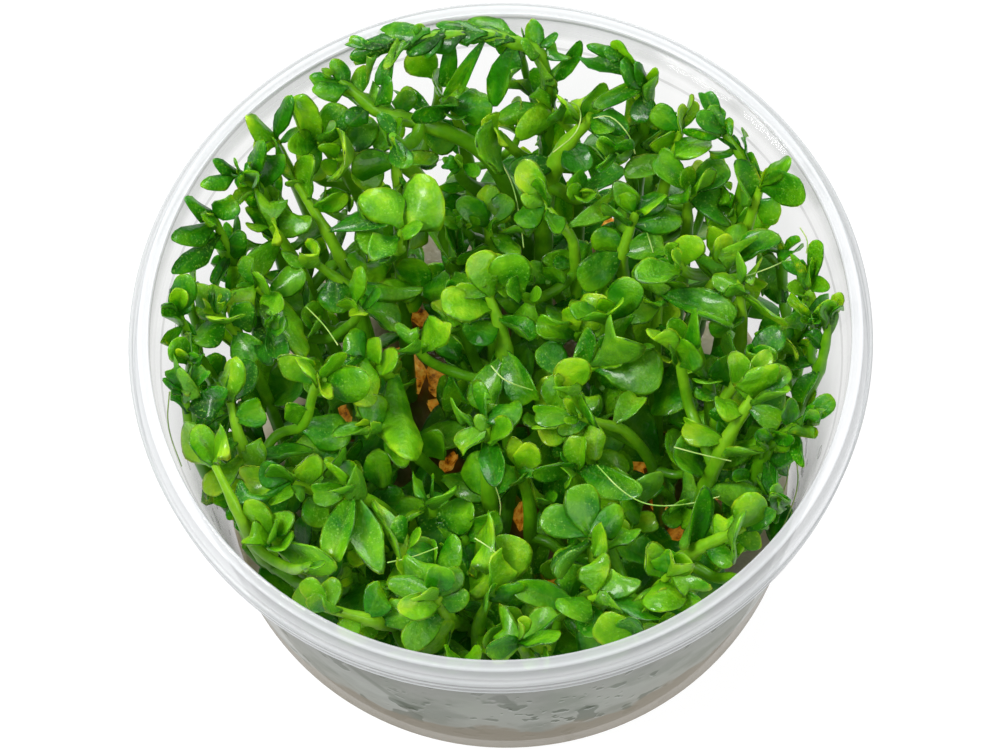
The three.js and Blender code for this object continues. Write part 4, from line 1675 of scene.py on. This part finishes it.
@dataclass
class Thicket:
    """All the shoots, grown together so that they share the room in the cup."""

    stem_step: float = 0.9
    stem_sides: int = 10
    main_shown_over: float = 22.0
    leaf_room: float = 0.24
    leaf_shown: float = 0.34

    def build(self) -> None:
        """Reads, fills out and makes every shoot."""
        chance = np.random.default_rng(SEED)
        names = sorted(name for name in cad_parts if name.startswith("shoot_"))
        shoots = [Shoot(name) for name in names]
        crowd = Crowd(np.array(FLAKE_SPOTS))
        for shoot in shoots:
            shoot.vary(chance)
            main = shoot.stems[0]
            crowd.add_stem(main)
            if not shoot.is_clasping:
                crowd.show(main.line[main.line[:, 2] > self.main_shown_over], main.radius)
            for leaf in shoot.leaves:
                crowd.add(leaf.samples(), leaf.width * self.leaf_room)
                crowd.show(leaf.samples(), leaf.width * self.leaf_shown)
        large = sum(len(shoot.leaves) for shoot in shoots)
        for shoot in shoots:
            shoot.add_branches(crowd, chance)
        for shoot in shoots:
            shoot.add_small_leaves(crowd, chance)
        small = sum(len(shoot.leaves) for shoot in shoots) - large
        branches = sum(len(shoot.stems) - 1 for shoot in shoots)
        LOG.info("%d shoots, %d branches, %d large and %d small leaves", len(shoots), branches, large, small)
        graph = shoot_tree(LeafForms().build())
        values = {"Step": self.stem_step * MM, "Sides": self.stem_sides, "Leaf": LeafFinish().material(),
                  "Stem": StemFinish().material()}
        for shoot in shoots:
            name = shoot.node.replace("shoot_", "moneywort_")
            piece = run_tree(graph, shoot.source(), name, values)
            place_piece(piece, "moneywort_green", shoot.node)


def turned(profile: list[tuple[float, float]], sides: int) -> tuple[np.ndarray, list[tuple[int, ...]]]:
    """A closed profile of (radius, height) in millimetres turned round Z.

    Args:
        profile: Points from the axis outside and back to the axis inside.
        sides: Steps in a turn.

    Returns:
        Points in metres and faces that point outwards.
    """
    points, rows = [], []
    for radius, height in profile:
        count = 1 if radius < 1e-6 else sides
        rows.append((len(points), count))
        for i in range(count):
            turn = 2 * math.pi * i / sides
            points.append((radius * math.cos(turn) * MM, radius * math.sin(turn) * MM, height * MM))
    faces = []
    for (low, low_count), (high, high_count) in zip(rows, rows[1:]):
        for i in range(sides):
            j = (i + 1) % sides
            lower = (low + i % low_count, low + j % low_count)
            upper = (high + j % high_count, high + i % high_count)
            faces.append(tuple(dict.fromkeys(lower + upper)))
    return np.array(points), faces


def arc(radius: float, fillet: float, bottom: float, steps: int) -> list[tuple[float, float]]:
    """A quarter round from the flat base up to the wall."""
    return [(radius - fillet + fillet * math.sin(math.pi / 2 * i / steps),
             bottom + fillet * (1 - math.cos(math.pi / 2 * i / steps))) for i in range(steps + 1)]


@dataclass
class Cup:
    """The clear cup: a tapered wall, a shoulder and a rim with fine moulded steps."""

    sides: int = 160
    film_heights: tuple[float, ...] = (0, 3, 46, 54)
    film: tuple[float, ...] = (0.6, 1.0, 0.8, 0.1)
    fading_heights: tuple[float, ...] = (24, 50)
    fading: tuple[float, ...] = (1.8, 3.5)
    least_fog: float = 0.04

    def build(self) -> None:
        """Turns the fine profile and marks where the plastic is milky and carries painted highlight lines,
        where painted shade lines run, and where it is fogged.
        """
        profile = [*self._outside(), *self._rim(), *self._inside()]
        radii, heights, milk, line = zip(*profile)
        points, faces = turned(list(zip(radii, heights)), self.sides)
        counts = [1 if radius < 1e-6 else self.sides for radius in radii]
        mesh = plain_mesh("cup_clear", points, faces)
        add_attribute(mesh, "milk", "FLOAT", np.repeat(milk, counts))
        add_attribute(mesh, "line", "FLOAT", np.repeat(line, counts))
        add_attribute(mesh, "fog", "FLOAT", self._fog(points))
        mesh.materials.append(CupFinish().material())
        mesh.set_sharp_from_angle(angle=math.radians(50))
        place_piece(link("cup_clear", mesh), "cup_plastic", "cup")

    def _fog(self, points: np.ndarray) -> np.ndarray:
        """The moisture film at points in metres: thickest at the front, and fading towards the rim.

        Args:
            points: Places in metres, as rows.

        Returns:
            The share of film at each point.
        """
        front = 0.5 - 0.5 * np.sin(np.arctan2(points[:, 1], points[:, 0]))
        heights = points[:, 2] / MM
        film = np.interp(heights, self.film_heights, self.film)
        fading = np.interp(heights, self.fading_heights, self.fading)
        return film * (self.least_fog + (1 - self.least_fog) * front ** fading)

    @staticmethod
    def _outside() -> list[tuple[float, float, float, float]]:
        """Radius, height, milkiness and line of the base and wall, from the axis up.

        Returns:
            Radius, height, milkiness and line of each point.
        """
        base = arc(BASE_RADIUS, BASE_FILLET, 0.0, 6)
        wall = [(45.0, 28.0), (WALL_TOP_RADIUS, SHOULDER_HEIGHT), (MOUTH_RADIUS + 0.5, 52.9)]
        return [(radius, height, 0.0, 0.0) for radius, height in [(0.0, 0.0), *base, *wall]]

    @staticmethod
    def _rim() -> list[tuple[float, float, float, float]]:
        """The skirt with its ridges, the groove and the flat lip, milky with painted highlight lines on its
        crests, and painted shade lines at its edges.

        Returns:
            Radius, height, milkiness and line of each point.
        """
        skirt = [
            (-1.8, 53.4, 0.5, 0.0), (-0.6, 53.9, 0.6, 0.0), (-0.28, 54.1, 1.0, 0.0),
            (-0.25, 54.35, 1.0, 0.0), (-0.35, 54.5, 0.5, 0.2), (-0.5, 54.9, 0.55, 0.05),
            (-0.45, 55.6, 0.6, 0.0), (-0.2, 55.8, 1.0, 0.0), (-0.2, 56.0, 1.0, 0.0),
            (-0.35, 56.2, 0.5, 0.2), (-0.38, 56.6, 0.6, 0.05), (-0.3, 57.3, 0.65, 0.0),
            (-0.05, 57.6, 1.0, 0.0), (0.0, 57.9, 0.9, 0.0), (-0.05, 58.2, 0.8, 0.0),
            (-0.25, 58.5, 0.9, 0.0), (-0.5, 58.58, 0.7, 0.05), (-0.65, 58.5, 0.65, 0.12),
            (-0.8, 58.52, 0.8, 0.0), (-1.1, 58.8, 0.85, 0.0), (-1.3, 59.3, 0.85, 0.0),
            (-1.38, 59.7, 0.8, 0.08), (-1.48, 59.9, 1.0, 0.0), (-1.7, CUP_HEIGHT, 1.0, 0.0),
            (-2.1, 59.85, 0.8, 0.0), (-2.6, 59.88, 0.8, 0.0), (-2.85, CUP_HEIGHT, 1.0, 0.0)]
        return [(RIM_RADIUS + out, height, milk, line) for out, height, milk, line in skirt]

    @staticmethod
    def _inside() -> list[tuple[float, float, float, float]]:
        """The inner wall and floor, with a painted shade line under the lip and one at the shoulder.

        Returns:
            Radius, height, milkiness and line of each point.
        """
        lip = [
            (0.0, 59.85, 0.7, 0.0), (-0.02, 59.6, 0.4, 0.0), (-0.02, 59.5, 0.1, 0.6),
            (-0.03, 59.1, 0.1, 0.6), (-0.04, 59.0, 0.1, 0.0), (-0.08, 54.2, 0.05, 0.0),
            (-0.1, 53.8, 0.05, 0.0), (-0.3, 53.1, 0.1, 0.0), (-0.52, 52.75, 0.1, 0.0),
            (-0.58, 52.65, 0.1, 0.5), (-0.75, 52.45, 0.1, 0.5),
            (-0.82, 52.35, 0.1, 0.0), (-1.15, 51.6, 0.0, 0.0)]
        upper = [(MOUTH_RADIUS + out, height, milk, line) for out, height, milk, line in lip]
        base = [(44.0, 28.0), *reversed(arc(BASE_RADIUS - WALL, BASE_FILLET - WALL, WALL, 5)), (0.0, WALL)]
        return upper + [(radius, height, 0.0, 0.0) for radius, height in base]


@dataclass
class Gel:
    """The set gel: a disc with an uneven wet top that climbs a little at the wall."""

    sides: int = 96
    rings: int = 26
    swell: float = 0.35
    gap: float = 0.3

    def build(self) -> None:
        """Turns the disc and ripples its top."""
        edge = wall_radius(GEL_TOP) - 0.35
        floor = WALL + self.gap
        under = arc(BASE_RADIUS - WALL - self.gap, BASE_FILLET - WALL, floor, 4)
        top = [(edge * float(share), GEL_TOP - 0.3) for share in np.linspace(0.985, 0.0, self.rings)]
        points, faces = turned([(0.0, floor), *under, (edge, GEL_TOP), *top], self.sides)
        top = points[:, 2] > (GEL_TOP - 0.6) * MM
        x, y = points[top, 0] / MM, points[top, 1] / MM
        ripple = np.sin(x * 0.31 + 1.3) * np.cos(y * 0.27) + 0.5 * np.sin(x * 0.83 + y * 0.61)
        inner = np.hypot(x, y) < edge * 0.98
        points[top, 2] += np.where(inner, ripple * self.swell / 2 - self.swell, 0.0) * MM
        mesh = plain_mesh("gel_set", points, faces)
        mesh.materials.append(GelFinish().material())
        place_piece(link("gel_set", mesh), "nutrient_gel", "gel")


@dataclass
class Flake:
    """The shape of one thin crumpled scrap of leaf."""

    length: float
    width_share: float = 0.54
    rows: int = 9
    columns: int = 7
    thickness: float = 0.3

    def sheet(self, chance: np.random.Generator, crumple: float = 1.0) -> np.ndarray:
        """Its upper points as rows of (along, across, height), in millimetres.

        Args:
            chance: The random numbers.
            crumple: How far it leaves the flat, from 0 to 1.

        Returns:
            The points as rows.
        """
        phase = chance.uniform(0, 6, 3)
        points = []
        for row in range(self.rows):
            t = row / (self.rows - 1)
            half = self.length * self.width_share / 2 * math.sin(math.pi * min(0.97, 0.06 + t * 0.92)) ** 0.7
            half *= 1 + 0.2 * math.sin(9 * t + phase[0])
            for column in range(self.columns):
                side = 2 * column / (self.columns - 1) - 1
                wave = 0.32 * math.sin(5 * t + phase[1]) + 0.3 * math.sin(3.5 * side + phase[2])
                lift = (wave + 0.5 * side ** 2) * crumple
                points.append(((t - 0.5) * self.length, side * half, lift))
        return np.array(points)

    def faces(self) -> list[tuple[int, ...]]:
        """Faces that close the upper points with a second set under them.

        Returns:
            Corner numbers of each face.
        """
        count, faces = self.rows * self.columns, []
        for row in range(self.rows - 1):
            for column in range(self.columns - 1):
                a = row * self.columns + column
                b = a + self.columns
                faces += [(a, a + 1, b + 1, b), (count + a, count + b, count + b + 1, count + a + 1)]
        border = [*range(self.columns), *[r * self.columns + self.columns - 1 for r in range(1, self.rows)],
                  *range(count - 2, count - self.columns - 1, -1),
                  *[r * self.columns for r in range(self.rows - 2, 0, -1)]]
        return faces + [(a, count + a, count + b, b) for a, b in zip(border, border[1:] + border[:1])]


@dataclass
class LeafLitter:
    """Dead leaves on the gel in place of the solid flakes, more between, and scraps stuck on the wall."""

    lengths: tuple[float, ...] = (5.8, 4.8, 4.0, 5.2)
    solid_share: float = 0.8
    clearance: float = 1.05
    wall_gap: float = 0.6
    wall_slope: float = 0.083
    wall_crumple: float = 0.3
    # A sheet that rises further than this stands on the wall
    level_rise: float = 2.2
    wall_scraps: tuple[tuple[float, float, float], ...] = (
        (-112, 19, 4.5), (-104, 24, 5.0), (-97, 17, 4.0), (-91, 27, 5.5), (-84, 21, 4.5), (-78, 15, 6.0),
        (-70, 24, 4.0), (-63, 18, 5.0))

    def build(self) -> None:
        """Makes the flakes that stand for solids, the rest of the litter and the scraps."""
        finish = LitterFinish().material()
        chance = np.random.default_rng(SEED + 1)
        for node in sorted(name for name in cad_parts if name.startswith("dead_leaf_")):
            low, high = (np.array(corner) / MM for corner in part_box(node))
            flake = Flake(float(np.hypot(*(high - low)[:2])) * self.solid_share)
            sheet = self._laid(flake.sheet(chance), (low + high) / 2, chance.uniform(0, 6.3))
            self._piece(f"crumpled_{node}", [sheet], flake, finish, "dead_leaf", node)
        litter = []
        for number, (x, y) in enumerate(FLAKE_SPOTS):
            flake = Flake(self.lengths[number % len(self.lengths)])
            spot = sighted(x, y, GEL_TOP + 1)
            litter.append(self._laid(flake.sheet(chance), spot, chance.uniform(0, 6.3)))
        self._piece("leaf_litter", litter, flake, finish, "dead_leaf")
        scraps = []
        for bearing, height, length in self.wall_scraps:
            sheet = Flake(length).sheet(chance, self.wall_crumple)
            scraps.append(self._on_wall(sheet, math.radians(bearing), height))
        green = LeafFinish(middle=LeafFinish.deep).material()
        self._piece("wall_scraps", scraps, flake, green, "moneywort_green")

    def _laid(self, sheet: np.ndarray, spot: np.ndarray, turn: float) -> np.ndarray:
        """A sheet laid on the gel at a spot.

        Args:
            sheet: The points as rows.
            spot: Where its middle lies.
            turn: Its turn in radians.

        Returns:
            The placed points.
        """
        along, across, lift = sheet.T
        x, y = spun(along, across, turn)
        return np.column_stack([spot[0] + x, spot[1] + y, GEL_TOP + self.clearance + lift])

    def _on_wall(self, sheet: np.ndarray, bearing: float, height: float) -> np.ndarray:
        """A sheet pressed to the inside of the wall with its length level.

        Args:
            sheet: The points as rows.
            bearing: Its angle round the cup.
            height: The height of its middle.

        Returns:
            The placed points.
        """
        along, across, lift = sheet.T
        z = height + across
        reach = wall_radius(height) + (z - height) * self.wall_slope - self.wall_gap - lift
        turn = bearing + along / wall_radius(height)
        return np.column_stack([reach * np.cos(turn), reach * np.sin(turn), z])

    def _piece(self, name: str, sheets: list[np.ndarray], flake: Flake, finish: bpy.types.Material,
               slot: str, *nodes: str) -> None:
        """Joins sheets into one closed piece whose faces point outwards.

        Args:
            name: The piece's name.
            sheets: The upper points of each scrap.
            flake: The scraps' shape.
            finish: Their material.
            slot: Their material slot.
            nodes: The CAD nodes that they replace.
        """
        points, faces = [], []
        for number, sheet in enumerate(sheets):
            over = np.array([0, 0, 1.0])
            if np.ptp(sheet[:, 2]) >= self.level_rise:
                over = -sheet.mean(axis=0) * [1, 1, 0] / np.hypot(*sheet.mean(axis=0)[:2])
            points += [sheet, sheet - over * flake.thickness]
            first = number * 2 * len(sheet)
            faces += [tuple(corner + first for corner in face) for face in flake.faces()]
        mesh = plain_mesh(name, np.vstack(points) * MM, faces)
        shape = bmesh.new()
        shape.from_mesh(mesh)
        bmesh.ops.recalc_face_normals(shape, faces=shape.faces)
        shape.to_mesh(mesh)
        shape.free()
        mesh.materials.append(finish)
        place_piece(link(name, mesh), slot, *nodes)


@dataclass
class AerialRoots:
    """Fine pale roots that hang between the shoots."""

    thickness: float = 0.2
    sides: int = 6
    step: float = 0.8
    routes: tuple[tuple[tuple[float, float, float], ...], ...] = (
        ((10, 38, 53), (13.5, 37.5, 53), (13, 33, 52), (9, 30, 49)),
        ((15, 35, 54), (17.5, 35.5, 54), (20, 32, 52), (20.5, 29, 49)),
        ((1, 30, 45), (3, 26, 44), (3.8, 20, 42), (4, 15.5, 40)),
        ((21, 18, 46), (21.8, 14, 44), (22.5, 10.5, 43)),
        ((34, 9, 51), (37.5, 10, 51), (41, 11.5, 50)),
        ((19, 10, 43), (17.5, 7, 42), (15, 5, 41)),
        ((18, 10, 43), (17, 7.5, 42), (15.5, 6.5, 41)),
        ((-26.5, 8.5, 46), (-24, 5.5, 45), (-22.3, 2.4, 44)),
        ((-16.8, -29.5, 47), (-13.5, -29, 47), (-10, -27.8, 46)),
        ((-5, -26.8, 46), (-3, -28.3, 46), (-1.4, -30, 46)),
        ((-1.5, -2, 45), (0, -4.2, 45), (2, -5.2, 44), (4, -6, 43)),
        ((22.5, -15.5, 45), (26, -16.8, 45), (30, -18, 44)),
        ((12, -17.5, 44), (15, -21.5, 46), (18.5, -23.8, 46), (23.5, -23.9, 45), (28, -23, 44)),
        ((-2, -19, 41), (-1.2, -22, 38), (-1.5, -24, 36)),
        ((-45.5, -3, 52), (-46, -8, 48), (-44, -14, 40)),
        ((37, -14, 40), (38, -20, 34), (35, -26, 28)),
        ((38.5, -16, 42), (39, -22, 35), (36, -28, 27)),
        ((-33, -12, 38), (-35, -20, 28), (-34, -27, 20)),
        ((-40, 12, 46), (-37, 11, 42), (-33, 12, 36)),
        ((42.5, 16, 56), (43.5, 14, 55), (43, 12, 54)),
    )

    def build(self) -> None:
        """Runs a round section along every route."""
        inputs = {"Thickness": "NodeSocketFloat", "Sides": "NodeSocketInt", "Root": "NodeSocketMaterial"}
        graph, given = geometry_tree("run_roots", inputs)
        curve = graph.add("GeometryNodeMeshToCurve", None, {0: given["Geometry"]})
        tube = graph.tube(curve, given["Sides"], given["Thickness"])
        graph.add("NodeGroupOutput", None, {0: graph.finished(tube, given["Root"])})
        mesh = bpy.data.meshes.new("root_lines")
        points, edges = [], []
        for route in self.routes:
            line = even_points(rounded(np.array([sighted(*point) for point in route]), 3), self.step)
            edges += [(len(points) + i, len(points) + i + 1) for i in range(len(line) - 1)]
            points += (line * MM).tolist()
        mesh.from_pydata(points, edges, [])
        values = {"Thickness": self.thickness / 2 * MM, "Sides": self.sides,
                  "Root": RootFinish().material()}
        piece = run_tree(graph, link("root_lines", mesh), "aerial_roots", values)
        place_piece(piece, "moneywort_green")


@dataclass
class Condensation:
    """Droplets on the inside of the wall, thickest low down at the front."""

    count: int = 260
    smallest: float = 0.25
    largest: float = 1.1
    size_leaning: tuple[float, float] = (1.2, 4)
    depth_share: float = 0.25
    width_shares: tuple[float, float] = (1.0, 2.6)
    height_share: float = 0.7
    wall_gap: float = 0.12
    # The middle and spread of their bearings in degrees, and their lowest, commonest and highest place
    bearings: tuple[float, float] = (-90, 65)
    heights: tuple[float, float, float] = (GEL_TOP + 2, 18, 50)

    def build(self) -> None:
        """Sets a flattened drop on each point of the wall."""
        graph, given = geometry_tree("set_droplets", {"Water": "NodeSocketMaterial"})
        drop = graph.add("GeometryNodeMeshIcoSphere", None, {"Radius": 1.0, "Subdivisions": 2})
        turn = graph.add("FunctionNodeEulerToRotation", None, {0: graph.point("turns")})
        sockets = {"Points": given["Geometry"], "Instance": drop, "Rotation": turn,
                   "Scale": graph.point("sizes")}
        drops = graph.add("GeometryNodeInstanceOnPoints", None, sockets)
        graph.add("NodeGroupOutput", None, {0: graph.finished(drops, given["Water"])})
        chance = np.random.default_rng(SEED + 2)
        places, turns, sizes = [], [], []
        for _ in range(self.count):
            bearing = math.radians(chance.normal(*self.bearings))
            height = float(chance.triangular(*self.heights))
            reach = wall_radius(height) - self.wall_gap
            places.append((reach * math.cos(bearing) * MM, reach * math.sin(bearing) * MM, height * MM))
            turns.append((0.0, 0.0, bearing))
            wide = self.smallest + (self.largest - self.smallest) * float(chance.beta(*self.size_leaning))
            across = wide * float(chance.uniform(*self.width_shares))
            sizes.append((self.depth_share * wide * MM, across * MM, wide * self.height_share * MM))
        mesh = bpy.data.meshes.new("droplet_points")
        mesh.from_pydata(places, [], [])
        add_attribute(mesh, "turns", "FLOAT_VECTOR", np.array(turns))
        add_attribute(mesh, "sizes", "FLOAT_VECTOR", np.array(sizes))
        values = {"Water": DropletFinish().material()}
        piece = run_tree(graph, link("droplet_points", mesh), "condensation", values)
        place_piece(piece, "cup_plastic")


@dataclass
class Studio:
    """Camera, floor and soft light."""

    target: tuple[float, float, float] = (-0.34, 4.9, 30.0)
    distance: float = 420.0
    elevation: float = 67.3
    roll: float = -3.43
    lens: float = 105.1
    floor_reach: float = 1500.0
    floor_drop: float = 0.05
    sky_light: float = 0.3
    sky_seen: float = 1.0
    # Name, place, width and power
    lamps: tuple[tuple[str, tuple[float, float, float], float, float], ...] = (
        ("key", (-260, -60, 520), 170, 3.0),
        ("fill", (320, -260, 380), 300, 1.0),
        ("back", (60, 360, 300), 220, 1.5),
    )

    def build(self) -> None:
        """Sets the scene's camera, floor, lights and sky."""
        self._camera()
        self._floor()
        for lamp in self.lamps:
            self._light(*lamp)
        world = bpy.data.worlds.new("studio")
        bpy.context.scene.world = world
        world.use_nodes = True
        graph = Graph(world.node_tree)
        backdrop = graph.add("ShaderNodeLightPath", output="Is Camera Ray")
        strength = backdrop * (self.sky_seen - self.sky_light) + self.sky_light
        sockets = {"Color": (1.0, 1.0, 1.0, 1.0), "Strength": strength}
        sky = graph.add("ShaderNodeBackground", None, sockets)
        graph.add("ShaderNodeOutputWorld", None, {"Surface": sky})
        bpy.context.scene.view_settings.view_transform = "Standard"

    def _camera(self) -> None:
        """A long lens looking down into the cup, turned a little as the photo is."""
        tilt, turn = math.radians(self.elevation), math.radians(self.roll)
        back = Vector((0, -math.cos(tilt), math.sin(tilt)))
        level, rise = Vector((1, 0, 0)), Vector((0, math.sin(tilt), math.cos(tilt)))
        right = level * math.cos(turn) + rise * math.sin(turn)
        up = rise * math.cos(turn) - level * math.sin(turn)
        data = bpy.data.cameras.new("camera")
        data.lens, data.sensor_width = self.lens, 36.0
        data.clip_start, data.clip_end = 0.01, 10.0
        camera = bpy.data.objects.new("camera", data)
        place = Vector(self.target) * MM + back * self.distance * MM
        camera.matrix_world = Matrix.Translation(place) @ Matrix((right, up, back)).transposed().to_4x4()
        bpy.context.scene.collection.objects.link(camera)
        bpy.context.scene.camera = camera

    def _floor(self) -> None:
        """A wide pale floor just under the cup."""
        corners = np.array([(x, y, 0) for x, y in ((-1, -1), (1, -1), (1, 1), (-1, 1))]) * self.floor_reach
        points = (corners - [0, 0, self.floor_drop]) * MM
        mesh = plain_mesh("floor", points, [(0, 1, 2, 3)], smooth=False)
        mesh.materials.append(FloorFinish().material())
        link("floor", mesh)

    def _light(self, name: str, place: tuple[float, float, float], size: float, power: float) -> None:
        """Adds a large soft area light aimed at the cup, with sizes in millimetres.

        Args:
            name: The light's name.
            place: Where it stands.
            size: Its width.
            power: Its power.
        """
        data = bpy.data.lights.new(name, "AREA")
        data.size = size * MM
        data.energy = power
        light = bpy.data.objects.new(name, data)
        light.location = Vector(place) * MM
        aim = Vector(self.target) * MM - light.location
        light.rotation_euler = aim.to_track_quat("-Z", "Y").to_euler()
        bpy.context.scene.collection.objects.link(light)


def main() -> None:
    """Builds the camera and studio, then every piece."""
    logging.basicConfig(level=logging.INFO, format="%(name)s %(message)s")
    Studio().build()
    for assembly in (Cup(), Gel(), LeafLitter(), AerialRoots(), Thicket(), Condensation()):
        assembly.build()
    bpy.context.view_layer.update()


if __name__ == "__main__":
    main()
